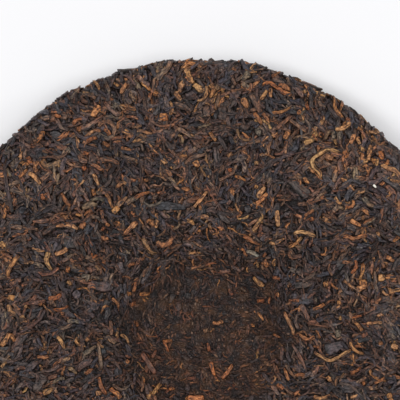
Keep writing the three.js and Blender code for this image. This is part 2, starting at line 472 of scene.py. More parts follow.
def leaf_finish(name, stops, streak=0.6, patch=0.85, roughness=0.5, **tints):
    """Pressed tea leaf. stops are (position, hex) from the darkest leaf to the lightest."""
    cool_tint = tints.get("cool_tint", COOL_TINT)
    edge_tint = tints.get("edge_tint", EDGE_SHADE_TINT)
    dimple_tint = tints.get("dimple_tint", DIMPLE_TINT_AND_SHADE)
    dust_share = tints.get("dust_share", DUST_SHARE)
    material = new_finish(name)
    tree = material.node_tree
    place = add(tree, "ShaderNodeTexCoord")
    tone = add(tree, "ShaderNodeAttribute", {"attribute_name": "leaf_tone"})
    along = add(tree, "ShaderNodeAttribute", {"attribute_name": "along"})
    across = add(tree, "ShaderNodeAttribute", {"attribute_name": "across"})
    apart = add(tree, "ShaderNodeMath", {"operation": "MULTIPLY", 1: TONE_SPREAD}, {0: (tone, "Fac")})
    on_leaf = add(
        tree,
        "ShaderNodeCombineXYZ",
        {},
        {"X": (along, "Fac"), "Y": (across, "Fac"), "Z": (apart, "Value")},
    )
    stretched = add(
        tree,
        "ShaderNodeVectorMath",
        {"operation": "MULTIPLY", 1: (STREAKS_ALONG, STREAKS_ACROSS, 1.0)},
        {0: (on_leaf, "Vector")},
    )
    streaks = add(
        tree,
        "ShaderNodeTexNoise",
        {"Scale": 1.0, "Detail": 3.0, "Roughness": 0.65},
        {"Vector": (stretched, "Vector")},
    )
    patches = add(
        tree,
        "ShaderNodeTexNoise",
        {"Scale": 1 / PATCH_SIZE, "Detail": 2.0},
        {"Vector": (place, "Object")},
    )
    sharp = add(
        tree,
        "ShaderNodeMapRange",
        {"From Min": STREAK_CONTRAST[0], "From Max": STREAK_CONTRAST[1]},
        {"Value": (streaks, "Fac")},
    )
    middling = add(
        tree,
        "ShaderNodeMapRange",
        {"To Min": TONE_RANGE[0], "To Max": TONE_RANGE[1]},
        {"Value": (tone, "Fac")},
    )
    streaked = weighed(tree, (sharp, "Result"), streak, (middling, "Result"))
    colour = ramped(tree, weighed(tree, (patches, "Fac"), patch, streaked), stops)

    own = add(tree, "ShaderNodeMath", {"operation": "MULTIPLY", 1: HUE_SPREAD}, {0: (tone, "Fac")})
    hue = add(tree, "ShaderNodeTexWhiteNoise", {"noise_dimensions": "1D"}, {"W": (own, "Value")})
    hue_patches = add(
        tree,
        "ShaderNodeTexNoise",
        {"Scale": 1 / HUE_PATCH_SIZE, "Detail": 1.0},
        {"Vector": (place, "Object")},
    )
    drawn = add(tree, "ShaderNodeSeparateColor", {}, {"Color": (hue, "Color")})
    shift = weighed(tree, (hue_patches, "Fac"), HUE_PATCH_WEIGHT, (drawn, "Red"))
    colour = multiplied(tree, colour, two_colours(tree, shift, WARM_TINT, cool_tint))
    colour = multiplied(tree, colour, two_colours(tree, (drawn, "Green"), RED_TINT, OLIVE_TINT))
    # Painted shade in the grooves between the ridges.
    groove = add(
        tree,
        "ShaderNodeMapRange",
        {"From Min": GROOVE_RANGE[0], "From Max": GROOVE_RANGE[1]},
        {"Value": (streaks, "Fac")},
    )
    colour = multiplied(tree, colour, two_colours(tree, (groove, "Result"), GROOVE_SHADE_TINT, "#ffffff"))
    mottle = add(
        tree,
        "ShaderNodeTexNoise",
        {"Scale": 1 / MOTTLE_SIZE, "Detail": 1.0},
        {"Vector": (place, "Object")},
    )
    mottled = add(
        tree,
        "ShaderNodeMapRange",
        {"From Min": MOTTLE_RANGE[0], "From Max": MOTTLE_RANGE[1]},
        {"Value": (mottle, "Fac")},
    )
    colour = multiplied(tree, colour, two_colours(tree, (mottled, "Result"), MOTTLE_TINT, "#ffffff"))
    # Painted shade: each leaf darkens towards its edges, where the gap beside it lies in shadow.
    side = add(tree, "ShaderNodeMath", {"operation": "ABSOLUTE"}, {0: (across, "Fac")})
    edge = add(tree, "ShaderNodeMapRange", {"From Min": EDGE_SHADE_START}, {"Value": (side, "Value")})
    colour = multiplied(tree, colour, two_colours(tree, (edge, "Result"), "#ffffff", edge_tint))
    outside = outward(tree, (place, "Object"), PRESSED_RADII)
    # The dimple gets a warmer colour from the press and a painted shade of the hollow.
    colour = multiplied(tree, colour, two_colours(tree, (outside, "Result"), dimple_tint, "#ffffff"))
    colour = dusted(tree, colour, (place, "Object"), (outside, "Result"), dust_share)
    surface_of(tree, colour, (sharp, "Result"), STREAK_DEPTH, roughness)
    return material


# %% [markdown]
# The finishes run from broken crumbs to the palest buds. Dry ripe leaf has a faint sheen from
# the tea's own oils and the press, so it is less rough than paper, while the down on the buds scatters
# the light and makes them rougher. Stalks dry to amber and older leaves to olive brown. A husk is grey
# and has no sheen.

# %% The leaf finishes
crumb_leaf = leaf_finish(
    "broken_leaf_crumbs",
    ((0.0, "#282325"), (0.45, "#453b3a"), (0.8, "#6c5850"), (1.0, "#967a66")),
    patch=1.3,
    roughness=0.55,
    edge_tint="#8a7f7c",
    dimple_tint="#ffefe5",
)
# Its cool slate darks are partly the leaf's own charcoal and partly a painted reflection of the bright
# room.
dark_leaf = leaf_finish(
    "black_rolled_leaf",
    ((0.0, "#342f36"), (0.5, "#5a5258"), (0.85, "#776a6a"), (1.0, "#957e72")),
    roughness=0.45,
)
brown_leaf = leaf_finish(
    "brown_rolled_leaf",
    ((0.0, "#3c3231"), (0.35, "#6a564f"), (0.75, "#977867"), (1.0, "#c69c77")),
    roughness=0.48,
)
golden_leaf = leaf_finish(
    "downy_golden_bud",
    ((0.0, "#4e3d34"), (0.3, "#8f6d57"), (0.7, "#c29a6f"), (1.0, "#e0b98a")),
    streak=0.7,
    roughness=0.6,
    cool_tint="#faf3ec",
    dimple_tint="#fff4ea",
    dust_share=0.05,
)
amber_leaf = leaf_finish(
    "amber_leaf_stalk",
    ((0.0, "#46352f"), (0.3, "#7f5a44"), (0.7, "#b07c55"), (1.0, "#d09d6b")),
    cool_tint="#faf3ec",
    dimple_tint="#fff4ea",
    dust_share=0.05,
)
olive_leaf = leaf_finish(
    "olive_brown_leaf",
    ((0.0, "#3b3330"), (0.3, "#6b5b4e"), (0.7, "#9a836a"), (1.0, "#bfa485")),
)
grey_husk = leaf_finish(
    "grey_dry_husk",
    ((0.0, "#7a6e62"), (0.5, "#b3a896"), (1.0, "#d8cdba")),
    patch=0.0,
    roughness=0.6,
)
# Its cool slate darks are partly the leaf's own charcoal and partly a painted reflection of the bright
# room.
blade_leaf = leaf_finish(
    "flat_leaf_blade",
    ((0.0, "#3a373c"), (0.5, "#595356"), (0.85, "#736667"), (1.0, "#907b70")),
    streak=0.5,
    roughness=0.45,
    edge_tint="#5e5656",
)
stem_bark = leaf_finish(
    "leaf_stem_bark",
    ((0.0, "#433635"), (0.6, "#7f655a"), (1.0, "#ae8a76")),
    roughness=0.5,
)


def fleck_finish(name):
    """A dry white scrap. It has no streaks, because it is smaller than one ridge of a leaf."""
    material = new_finish(name)
    tree = material.node_tree
    place = add(tree, "ShaderNodeTexCoord")
    grain = add(tree, "ShaderNodeTexNoise", {"Scale": 1 / MOTTLE_SIZE}, {"Vector": (place, "Object")})
    colour = two_colours(tree, (grain, "Fac"), "#f2e7d2", "#fffdf6")
    surface_of(tree, colour, (grain, "Fac"), STREAK_DEPTH, roughness=0.6)
    return material


white_fleck = fleck_finish("white_fleck")
print("The leaf finishes are made:", len(bpy.data.materials), "materials")

# %% [markdown]
# Between the whole leaves shows a bed of scraps pressed into a board. A scrap is 1 to 2 mm across and
# longer than it is wide. Real meshes of them would run to millions of triangles, so the bed's finish
# draws them: a Voronoi pattern, stretched one way in some places and another way in others, gives each
# scrap its own tone, and the distance to a scrap's edge gives a painted shade, the dark line round it
# where the gap between two scraps would be in shadow.

# %% The finish of the bed
SCRAP_SIZE = 1.5 * MM
SCRAP_STRETCHES = ((1.0, 0.42, 1.0), (0.42, 1.0, 1.0))  # along X, and along Y
BUNDLE_SIZE = 7 * MM
BUNDLE_EDGE = (0.48, 0.52)  # the noise's values where scraps that lie one way meet the others
WARP = 1.2 * MM  # how far the pattern strays, so that the scraps are not straight
# The dark line round each scrap is a painted shade of the gap between scraps.
SCRAP_EDGE = 0.22  # the part of a scrap that the dark line round it takes
SCRAP_DEPTH = 0.3 * MM
BED_STOPS = ((0.0, "#161111"), (0.45, "#332926"), (0.8, "#54423a"), (1.0, "#85664f"))


def bed_finish(name):
    """Scraps of leaf pressed into a board."""
    material = new_finish(name)
    tree = material.node_tree
    place = add(tree, "ShaderNodeTexCoord")
    sway = add(tree, "ShaderNodeTexNoise", {"Scale": 1 / BUNDLE_SIZE}, {"Vector": (place, "Object")})
    warped = add(
        tree,
        "ShaderNodeVectorMath",
        {"operation": "MULTIPLY_ADD", 1: (WARP, WARP, WARP)},
        {0: (sway, "Color"), 2: (place, "Object")},
    )
    scraps = []
    for stretch in SCRAP_STRETCHES:
        stretched = add(
            tree,
            "ShaderNodeVectorMath",
            {"operation": "DIVIDE", 1: stretch},
            {0: (warped, "Vector")},
        )
        cells = [
            add(
                tree,
                "ShaderNodeTexVoronoi",
                {"feature": feature, "Scale": 1 / SCRAP_SIZE},
                {"Vector": (stretched, "Vector")},
            )
            for feature in ("F1", "DISTANCE_TO_EDGE")
        ]
        scraps.append(cells)
    bundle = add(
        tree,
        "ShaderNodeMapRange",
        {"From Min": BUNDLE_EDGE[0], "From Max": BUNDLE_EDGE[1]},
        {"Value": (sway, "Fac")},
    )
    shade = add(
        tree,
        "ShaderNodeMix",
        {"data_type": "RGBA"},
        {
            "Factor": (bundle, "Result"),
            "A": (scraps[0][0], "Color"),
            "B": (scraps[1][0], "Color"),
        },
    )
    edge = add(
        tree,
        "ShaderNodeMix",
        {"data_type": "FLOAT"},
        {
            "Factor": (bundle, "Result"),
            "A": (scraps[0][1], "Distance"),
            "B": (scraps[1][1], "Distance"),
        },
    )
    tone = add(tree, "ShaderNodeSeparateColor", {}, {"Color": (shade, "Result")})
    fine = add(
        tree,
        "ShaderNodeTexNoise",
        {"Scale": 1 / SCRAP_SIZE, "Detail": 3.0, "Roughness": 0.7},
        {"Vector": (place, "Object")},
    )
    colour = ramped(tree, weighed(tree, (fine, "Fac"), 1.0, (tone, "Red")), BED_STOPS)
    colour = multiplied(tree, colour, two_colours(tree, (tone, "Green"), WARM_TINT, COOL_TINT))
    # Painted shade: a dark line round each scrap, where the gap between scraps is.
    inside = add(tree, "ShaderNodeMapRange", {"From Max": SCRAP_EDGE}, {"Value": (edge, "Result")})
    colour = multiplied(tree, colour, two_colours(tree, (inside, "Result"), EDGE_SHADE_TINT, "#ffffff"))
    outside = outward(tree, (place, "Object"), PRESSED_RADII)
    colour = dusted(tree, colour, (place, "Object"), (outside, "Result"), DUST_SHARE)
    surface_of(tree, colour, (inside, "Result"), SCRAP_DEPTH, roughness=0.6)
    return material


pressed_bed = bed_finish("pressed_leaf_scraps")
print("Scraps of", SCRAP_SIZE / MM, "mm")

# %% [markdown]
# A leaf here is a strip round a curved line. Its cross-section is a list of points, each with a place
# across the leaf and a rise above it: a rolled leaf has two ridges and a groove, a blade has a midrib,
# a stem is round. The library holds every leaf flat, with its rise kept as a number on each point, so
# that the press below can lay it onto any curve of the cake. Eight to two dozen variants of a kind,
# stretched at random, are enough that no two neighbours look alike.

# %% Leaf shapes
RIDGED = ((-1, -0.1), (-0.6, 0.8), (-0.05, 0.3), (0.5, 0.95), (1, 0), (0.1, -1))
PLUMP = ((-1, 0), (-0.55, 0.8), (0, 0.55), (0.5, 1), (1, 0), (0, -1))
SIMPLE = ((-1, 0), (-0.35, 0.9), (0.45, 0.8), (1, 0), (0, -1))
ROUND = ((-1, 0), (-0.45, 0.9), (0.45, 0.9), (1, 0), (0, -1))
VEINED = ((-1, 0.1), (-0.55, 0.75), (-0.14, 0.35), (0, 1), (0.14, 0.3), (0.6, 0.8), (1, 0), (0, -0.8))
JITTER = 0.18  # how far each point strays, as a share of the leaf's half width
KINK = 0.22  # how far, in radians, a leaf's heading strays at each ring
TIP_SHARE = 0.06  # how far from each tip, as a share of the leaf, its first and last rings are
NARROW_END = 0.6  # the least width of the far end, as a share of the near end's least
THIN_END = 0.6  # the thickness of a pointed end, as a share of the middle's


class LeafKind:
    """The sizes of one kind of leaf, each a range from smallest to largest."""

    def __init__(self, variants, length, width, thickness, bend, rings, section, wave=0.25, blunt=0.7):
        self.variants, self.length, self.width, self.thickness = variants, length, width, thickness
        self.bend, self.rings, self.section, self.wave, self.blunt = bend, rings, section, wave, blunt


def mixed(rand, pair):
    """A random value between the two."""
    return pair[0] + (pair[1] - pair[0]) * rand.random()


def leaf_line(rand, kind, length):
    """Points along a leaf's middle as (x, y, heading, along), tips included, centred on the origin."""
    bend = kind.bend * (2 * rand.random() - 1)
    wave, phase = kind.wave * rand.random(), rand.random()
    inner = [TIP_SHARE + (1 - 2 * TIP_SHARE) * i / (kind.rings - 1) for i in range(kind.rings)]
    line, x, y, before = [], 0.0, 0.0, 0.0
    for t in [0.0] + inner + [1.0]:
        heading = bend * (t - 0.5) + wave * math.sin(2 * math.pi * (t + phase))
        heading += KINK * (2 * rand.random() - 1)
        x += (t - before) * length * math.cos(heading)
        y += (t - before) * length * math.sin(heading)
        before = t
        line.append((x, y, heading, 2 * t - 1))
    middle_x = sum(point[0] for point in line) / len(line)
    middle_y = sum(point[1] for point in line) / len(line)
    return [(x - middle_x, y - middle_y, heading, along) for x, y, heading, along in line]


def strip_points(rand, line, half_width, thickness, section, blunt):
    """The points of a strip along a line: (x, y, across, rise, along), tips first and last."""
    start, end = mixed(rand, (blunt, 1)), mixed(rand, (blunt * NARROW_END, 1))
    points = [(line[0][0], line[0][1], 0.0, 0.0, -1.0)]
    for x, y, heading, along in line[1:-1]:
        share = (along + 1) / 2
        full = (start + (end - start) * share) + (1 - (start + end) / 2) * math.sin(math.pi * share)
        full *= 1 + JITTER * (2 * rand.random() - 1)
        thick = thickness * (THIN_END + (1 - THIN_END) * full)
        for across, rise in section:
            across += JITTER * (2 * rand.random() - 1) * (1 - abs(across))
            rise *= thick * (1 + 2 * JITTER * (2 * rand.random() - 1))
            side = across * half_width * full
            points.append((x - math.sin(heading) * side, y + math.cos(heading) * side, across, rise, along))
    points.append((line[-1][0], line[-1][1], 0.0, 0.0, 1.0))
    return points


print("Points round a rolled leaf:", len(RIDGED), "and round a blade:", len(VEINED))

# %% [markdown]
# The points become a closed skin, tip to tip. Each skin is also unrolled onto a cell of its own on one
# map per piece, because the export bakes the finish onto that map, and no two leaves may share a spot.

# %% Meshes of leaves
def strip_faces(rings, sides):
    """The faces of a closed strip with that many rings of points and a tip at each end."""
    last = rings * sides + 1
    faces = []
    for side in range(sides):
        following = (side + 1) % sides
        faces.append((0, 1 + side, 1 + following))
        for ring in range(rings - 1):
            low, high = 1 + ring * sides, 1 + (ring + 1) * sides
            faces.append((low + side, high + side, high + following, low + following))
        faces.append((last, last - sides + following, last - sides + side))
    return faces


BAKE_MAP = "OFBake"
CELL_SHARE = 0.9  # the part of its cell that a leaf's skin fills on the bake's map


def strips_mesh(name, strips, sides, skin_share=CELL_SHARE):
    """A mesh of closed strips, with their skins unrolled side by side on a map.

    A strip is a list of points from tip to tip. A point is (place, values), and values are its numbers
    by name, along, across and rise among them.
    """
    cells = math.ceil(math.sqrt(len(strips)))
    points, faces, skin = [], [], []
    for number, strip in enumerate(strips):
        row, column = divmod(number, cells)
        rings = (len(strip) - 2) // sides
        for order, face in enumerate(strip_faces(rings, sides)):
            side = order // (rings + 1)
            faces.append([len(points) + corner for corner in face])
            for corner in face:
                tip = corner in (0, len(strip) - 1)
                round_it = 0.5 if tip else (corner - 1 - side) % sides
                u = (strip[corner][1]["along"] + 1) / 2
                v = (side + round_it) / sides
                skin.extend(((column + u * skin_share) / cells, (row + v * skin_share) / cells))
        points.extend(strip)
    mesh = bpy.data.meshes.new(name)
    mesh.from_pydata([place for place, values in points], [], faces)
    mesh.shade_smooth()
    for value in points[0][1]:
        layer = mesh.attributes.new(value, "FLOAT", "POINT")
        layer.data.foreach_set("value", [values[value] for place, values in points])
    mesh.uv_layers.new(name=BAKE_MAP).data.foreach_set("uv", skin)
    return mesh


def leaf_library(name, kind, seed):
    """A collection, outside the scene, with the variants of one kind of leaf, lying flat."""
    rand = random.Random(seed)
    library = bpy.data.collections.new(name)
    for number in range(kind.variants):
        line = leaf_line(rand, kind, mixed(rand, kind.length))
        shape = mixed(rand, kind.width) / 2, mixed(rand, kind.thickness), kind.section, kind.blunt
        strip = [
            ((x, y, 0), {"across": across, "rise": rise, "along": along})
            for x, y, across, rise, along in strip_points(rand, line, *shape)
        ]
        mesh = strips_mesh(f"{name}_{number}", [strip], len(kind.section), skin_share=1)
        library.objects.link(bpy.data.objects.new(mesh.name, mesh))
    return library


print("Faces of a rolled leaf with three rings:", len(strip_faces(3, len(RIDGED))))

# %% [markdown]
# The press is a Geometry Nodes tree. It scatters points over the guide, more in some patches than in
# others. Each point gets one leaf of the library, turned mostly the way its neighbours lie, because the
# wet leaf slid together in bundles, and then by a turn of its own. Every leaf gets a tone, a lift, a
# tilt along it and a roll across it. Last, each point of each leaf is dropped to the nearest place on
# the guide and raised again along the normal there by the leaf's own thickness. That bends it over the
# rim and down into the dimple, as pressing does. In the dimple the leaves are smaller and lie flatter.
# Particles would give the same spread, but their leaves would stand off every curve.

# %% The press
PRESS_INPUTS = (
    ("Geometry", "NodeSocketGeometry"),
    ("Leaf shapes", "NodeSocketCollection"),
    ("Finish", "NodeSocketMaterial"),
    ("Leaves per square metre", "NodeSocketFloat"),
    ("Patchiness", "NodeSocketFloat"),
    ("Share in the dimple", "NodeSocketFloat"),
    ("Size in the dimple", "NodeSocketFloat"),
    ("Share off the rim", "NodeSocketFloat"),
    ("Shortest", "NodeSocketFloat"),
    ("Longest", "NodeSocketFloat"),
    ("Disorder", "NodeSocketFloat"),
    ("Lowest pose", "NodeSocketVector"),
    ("Highest pose", "NodeSocketVector"),
    ("Seed", "NodeSocketInt"),
)
DENSITY_PATCH = 12 * MM  # the size of a patch where leaves of one kind gathered
FLOW_PATCH = 26 * MM  # the size of a bundle of leaves that lie the same way
FLOW_TURN = 9.0  # in radians, the most that the flow turns from one bundle to the next
LAST_DRAW = 1000  # the draw of a variant wraps round its library, whatever the library's size
CRAG_PATCH = 8 * MM  # the leaves of a patch this wide stand high or low together
CRAG_SIZE = 0.6 * MM
RIM_STEEPNESS = (0.35, 0.8)  # how level the surface is where the rim begins and where it is left
UNDERSIDE_SHARE = 0.5  # the underside was pressed on the board, so fewer leaves lie over each other
UNDERSIDE_STEEPNESS = 0.3  # the share grows to 1 while the normal's Z goes from minus this to this
FLATNESS_IN_DIMPLE = 0.74  # the knot pressed the leaves there to about this much of their relief
WIDTH_RANGE = (0.75, 1.3)
RIMWARD_RADII = (36 * MM, 92 * MM)  # the leaf is broken smaller in the middle, and whole near the rim
RIMWARD_SIZE = (0.9, 1.3)
LEAST_PLACE = (-1.0, -1.0, 0.02 * MM)  # no leaf reaches under the table, and X and Y stay free


def press_tree():
    """The tree. A pose is a vector: the tilt of the ends, the roll of the edges, and the lift."""
    tree = bpy.data.node_groups.new("Press leaves", "GeometryNodeTree")
    for name, kind in PRESS_INPUTS:
        tree.interface.new_socket(name, in_out="INPUT", socket_type=kind)
    tree.interface.new_socket("Geometry", in_out="OUTPUT", socket_type="NodeSocketGeometry")
    given = add(tree, "NodeGroupInput")
    place = add(tree, "GeometryNodeInputPosition")

    patches = add(
        tree,
        "ShaderNodeTexNoise",
        {"Scale": 1 / DENSITY_PATCH, "Detail": 2.0},
        {"Vector": (place, "Position")},
    )
    swing = add(tree, "ShaderNodeMath", {"operation": "SUBTRACT", 1: 0.5}, {0: (patches, "Fac")})
    swung = add(
        tree,
        "ShaderNodeMath",
        {"operation": "MULTIPLY_ADD", 2: 1.0, "use_clamp": False},
        {0: (swing, "Value"), 1: (given, "Patchiness")},
    )
    outside = outward(tree, (place, "Position"), PRESSED_RADII)
    thinned = add(
        tree,
        "ShaderNodeMapRange",
        {"To Max": 1.0},
        {"Value": (outside, "Result"), "To Min": (given, "Share in the dimple")},
    )
    shared = add(
        tree,
        "ShaderNodeMath",
        {"operation": "MULTIPLY"},
        {0: (swung, "Value"), 1: (thinned, "Result")},
    )
    normal_here = add(tree, "GeometryNodeInputNormal")
    facing = add(tree, "ShaderNodeSeparateXYZ", {}, {"Vector": (normal_here, "Normal")})
    level = add(tree, "ShaderNodeMath", {"operation": "ABSOLUTE"}, {0: (facing, "Z")})
    at_rim = add(
        tree,
        "ShaderNodeMapRange",
        {"From Min": RIM_STEEPNESS[0], "From Max": RIM_STEEPNESS[1], "To Min": 1.0},
        {"Value": (level, "Value"), "To Max": (given, "Share off the rim")},
    )
    spared = add(
        tree,
        "ShaderNodeMath",
        {"operation": "MULTIPLY"},
        {0: (shared, "Value"), 1: (at_rim, "Result")},
    )
    upward = add(
        tree,
        "ShaderNodeMapRange",
        {"From Min": -UNDERSIDE_STEEPNESS, "From Max": UNDERSIDE_STEEPNESS, "To Min": UNDERSIDE_SHARE},
        {"Value": (facing, "Z")},
    )
    seen = add(
        tree,
        "ShaderNodeMath",
        {"operation": "MULTIPLY"},
        {0: (spared, "Value"), 1: (upward, "Result")},
    )
    density = add(
        tree,
        "ShaderNodeMath",
        {"operation": "MULTIPLY"},
        {0: (seen, "Value"), 1: (given, "Leaves per square metre")},
    )
    points = add(
        tree,
        "GeometryNodeDistributePointsOnFaces",
        {"distribute_method": "RANDOM"},
        {"Mesh": (given, "Geometry"), "Density": (density, "Value"), "Seed": (given, "Seed")},
    )

    flow = add(
        tree,
        "ShaderNodeTexNoise",
        {"Scale": 1 / FLOW_PATCH, "Detail": 1.0},
        {"Vector": (place, "Position")},
    )
    minus = add(tree, "ShaderNodeMath", {"operation": "MULTIPLY", 1: -1.0}, {0: (given, "Disorder")})
    stray = add(
        tree,
        "FunctionNodeRandomValue",
        {"data_type": "FLOAT", "Seed": 1},
        {"Min": (minus, "Value"), "Max": (given, "Disorder")},
    )
    turn = add(
        tree,
        "ShaderNodeMath",
        {"operation": "MULTIPLY_ADD", 1: FLOW_TURN},
        {0: (flow, "Fac"), 2: (stray, "Value")},
    )
    spin = add(
        tree,
        "FunctionNodeAxisAngleToRotation",
        {"Axis": (0, 0, 1)},
        {"Angle": (turn, "Value")},
    )
    laid = add(
        tree,
        "FunctionNodeRotateRotation",
        {"rotation_space": "LOCAL"},
        {"Rotation": (points, "Rotation"), "Rotate By": (spin, "Rotation")},
    )
    length = add(
        tree,
        "FunctionNodeRandomValue",
        {"data_type": "FLOAT", "Seed": 2},
        {"Min": (given, "Shortest"), "Max": (given, "Longest")},
    )
    girth = add(
        tree,
        "FunctionNodeRandomValue",
        {"data_type": "FLOAT", "Seed": 3, "Min": WIDTH_RANGE[0], "Max": WIDTH_RANGE[1]},
    )
    smaller = add(
        tree,
        "ShaderNodeMapRange",
        {"To Max": 1.0},
        {"Value": (outside, "Result"), "To Min": (given, "Size in the dimple")},
    )
    full_size = add(
        tree,
        "ShaderNodeCombineXYZ",
        {"Z": 1.0},
        {"X": (length, "Value"), "Y": (girth, "Value")},
    )
    rimward = add(
        tree,
        "ShaderNodeMapRange",
        {"To Min": RIMWARD_SIZE[0], "To Max": RIMWARD_SIZE[1]},
        {"Value": (outward(tree, (place, "Position"), RIMWARD_RADII), "Result")},
    )
    local = add(
        tree,
        "ShaderNodeMath",
        {"operation": "MULTIPLY"},
        {0: (smaller, "Result"), 1: (rimward, "Result")},
    )
    size = add(
        tree,
        "ShaderNodeVectorMath",
        {"operation": "MULTIPLY"},
        {0: (full_size, "Vector"), 1: (local, "Value")},
    )
    shapes = add(
        tree,
        "GeometryNodeCollectionInfo",
        {"Separate Children": True, "Reset Children": True},
        {"Collection": (given, "Leaf shapes")},
    )
    which = add(
        tree,
        "FunctionNodeRandomValue",
        {"data_type": "INT", "Seed": 4, "Min": 0, "Max": LAST_DRAW},
    )
    leaves = add(
        tree,
        "GeometryNodeInstanceOnPoints",
        {"Pick Instance": True},
        {
            "Points": (points, "Points"),
            "Instance": (shapes, "Instances"),
            "Instance Index": (which, "Value"),
            "Rotation": (laid, "Rotation"),
            "Scale": (size, "Vector"),
        },
    )

    tone = add(tree, "FunctionNodeRandomValue", {"data_type": "FLOAT", "Seed": 5})
    pose = add(
        tree,
        "FunctionNodeRandomValue",
        {"data_type": "FLOAT_VECTOR", "Seed": 6},
        {"Min": (given, "Lowest pose"), "Max": (given, "Highest pose")},
    )
    crags = add(
        tree,
        "ShaderNodeTexNoise",
        {"Scale": 1 / CRAG_PATCH, "Detail": 1.0},
        {"Vector": (place, "Position")},
    )
    crag = add(tree, "ShaderNodeMath", {"operation": "SUBTRACT", 1: 0.5}, {0: (crags, "Fac")})
    raised = add(
        tree,
        "ShaderNodeVectorMath",
        {"operation": "MULTIPLY_ADD", 1: (0, 0, CRAG_SIZE)},
        {0: (crag, "Value"), 2: (pose, "Value")},
    )
    flatter = add(
        tree,
        "ShaderNodeMapRange",
        {"To Min": FLATNESS_IN_DIMPLE, "To Max": 1.0},
        {"Value": (outside, "Result")},
    )
    relief = add(
        tree,
        "ShaderNodeMath",
        {"operation": "MULTIPLY"},
        {0: (flatter, "Result"), 1: (local, "Value")},
    )
    settled = add(
        tree,
        "ShaderNodeVectorMath",
        {"operation": "MULTIPLY"},
        {0: (raised, "Vector"), 1: (relief, "Value")},
    )
    thickness = add(
        tree,
        "ShaderNodeMath",
        {"operation": "MULTIPLY"},
        {0: (girth, "Value"), 1: (relief, "Value")},
    )
    number = add(tree, "GeometryNodeInputIndex")
    kept = (leaves, "Instances")
    for name, kind, value in (
        ("leaf_tone", "FLOAT", (tone, "Value")),
        ("leaf_girth", "FLOAT", (thickness, "Value")),
        ("leaf_pose", "FLOAT_VECTOR", (settled, "Vector")),
        ("leaf_number", "INT", (number, "Index")),
    ):
        stored = add(
            tree,
            "GeometryNodeStoreNamedAttribute",
            {"data_type": kind, "domain": "INSTANCE", "Name": name},
            {"Geometry": kept, "Value": value},
        )
        kept = (stored, "Geometry")
    real = add(tree, "GeometryNodeRealizeInstances", {}, {"Geometry": kept})

    spot, normal = (
        add(
            tree,
            "GeometryNodeSampleNearestSurface",
            {"data_type": "FLOAT_VECTOR"},
            {"Mesh": (given, "Geometry"), "Value": value, "Sample Position": (place, "Position")},
        )
        for value in ((place, "Position"), (add(tree, "GeometryNodeInputNormal"), "Normal"))
    )
    read = {
        name: add(tree, "GeometryNodeInputNamedAttribute", {"data_type": kind, "Name": name})
        for name, kind in (
            ("rise", "FLOAT"),
            ("along", "FLOAT"),
            ("across", "FLOAT"),
            ("leaf_girth", "FLOAT"),
            ("leaf_pose", "FLOAT_VECTOR"),
            ("leaf_number", "INT"),
        )
    }
    where = add(
        tree,
        "ShaderNodeCombineXYZ",
        {"Z": 1.0},
        {"X": (read["along"], "Attribute"), "Y": (read["across"], "Attribute")},
    )
    posed = add(
        tree,
        "ShaderNodeVectorMath",
        {"operation": "DOT_PRODUCT"},
        {0: (read["leaf_pose"], "Attribute"), 1: (where, "Vector")},
    )
    height = add(
        tree,
        "ShaderNodeMath",
        {"operation": "MULTIPLY_ADD"},
        {
            0: (read["rise"], "Attribute"),
            1: (read["leaf_girth"], "Attribute"),
            2: (posed, "Value"),
        },
    )
    pressed = add(
        tree,
        "ShaderNodeVectorMath",
        {"operation": "MULTIPLY_ADD"},
        {0: (normal, "Value"), 1: (height, "Value"), 2: (spot, "Value")},
    )
    clear = add(
        tree,
        "ShaderNodeVectorMath",
        {"operation": "MAXIMUM", 1: LEAST_PLACE},
        {0: (pressed, "Vector")},
    )
    moved = add(
        tree,
        "GeometryNodeSetPosition",
        {},
        {"Geometry": (real, "Geometry"), "Position": (clear, "Vector")},
    )

    total = add(tree, "GeometryNodeAttributeDomainSize", {"component": "INSTANCES"}, {"Geometry": kept})
    side = add(tree, "ShaderNodeMath", {"operation": "SQRT"}, {0: (total, "Instance Count")})
    cells = add(tree, "ShaderNodeMath", {"operation": "CEIL"}, {0: (side, "Value")})
    share = add(
        tree,
        "ShaderNodeMath",
        {"operation": "DIVIDE"},
        {0: (read["leaf_number"], "Attribute"), 1: (cells, "Value")},
    )
    row = add(tree, "ShaderNodeMath", {"operation": "FLOOR"}, {0: (share, "Value")})
    column = add(tree, "ShaderNodeMath", {"operation": "FRACT"}, {0: (share, "Value")})
    up = add(tree, "ShaderNodeMath", {"operation": "DIVIDE"}, {0: (row, "Value"), 1: (cells, "Value")})
    corner = add(tree, "ShaderNodeCombineXYZ", {}, {"X": (column, "Value"), "Y": (up, "Value")})
    skin = add(tree, "GeometryNodeInputNamedAttribute", {"data_type": "FLOAT_VECTOR", "Name": BAKE_MAP})
    shrunk = add(
        tree,
        "ShaderNodeMath",
        {"operation": "DIVIDE", 0: CELL_SHARE},
        {1: (cells, "Value")},
    )
    own_cell = add(
        tree,
        "ShaderNodeVectorMath",
        {"operation": "MULTIPLY_ADD"},
        {0: (skin, "Attribute"), 1: (shrunk, "Value"), 2: (corner, "Vector")},
    )
    mapped = add(
        tree,
        "GeometryNodeStoreNamedAttribute",
        {"data_type": "FLOAT2", "domain": "CORNER", "Name": BAKE_MAP},
        {"Geometry": (moved, "Geometry"), "Value": (own_cell, "Vector")},
    )
    finished = add(
        tree,
        "GeometryNodeSetMaterial",
        {},
        {"Geometry": (mapped, "Geometry"), "Material": (given, "Finish")},
    )
    add(tree, "NodeGroupOutput", {}, {"Geometry": (finished, "Geometry")})
    return tree


press = press_tree()
print("The press has", len(press.nodes), "nodes")

# %% [markdown]
# A modifier on the guide runs the press. Its inputs are set by identifier, because a socket's name is
# only its label. The evaluated result becomes the piece's own plain mesh, and the modifier goes.

# %% Pressing one kind of leaf
SCRATCH_ATTRIBUTES = ("rise", "leaf_girth", "leaf_pose", "leaf_number")


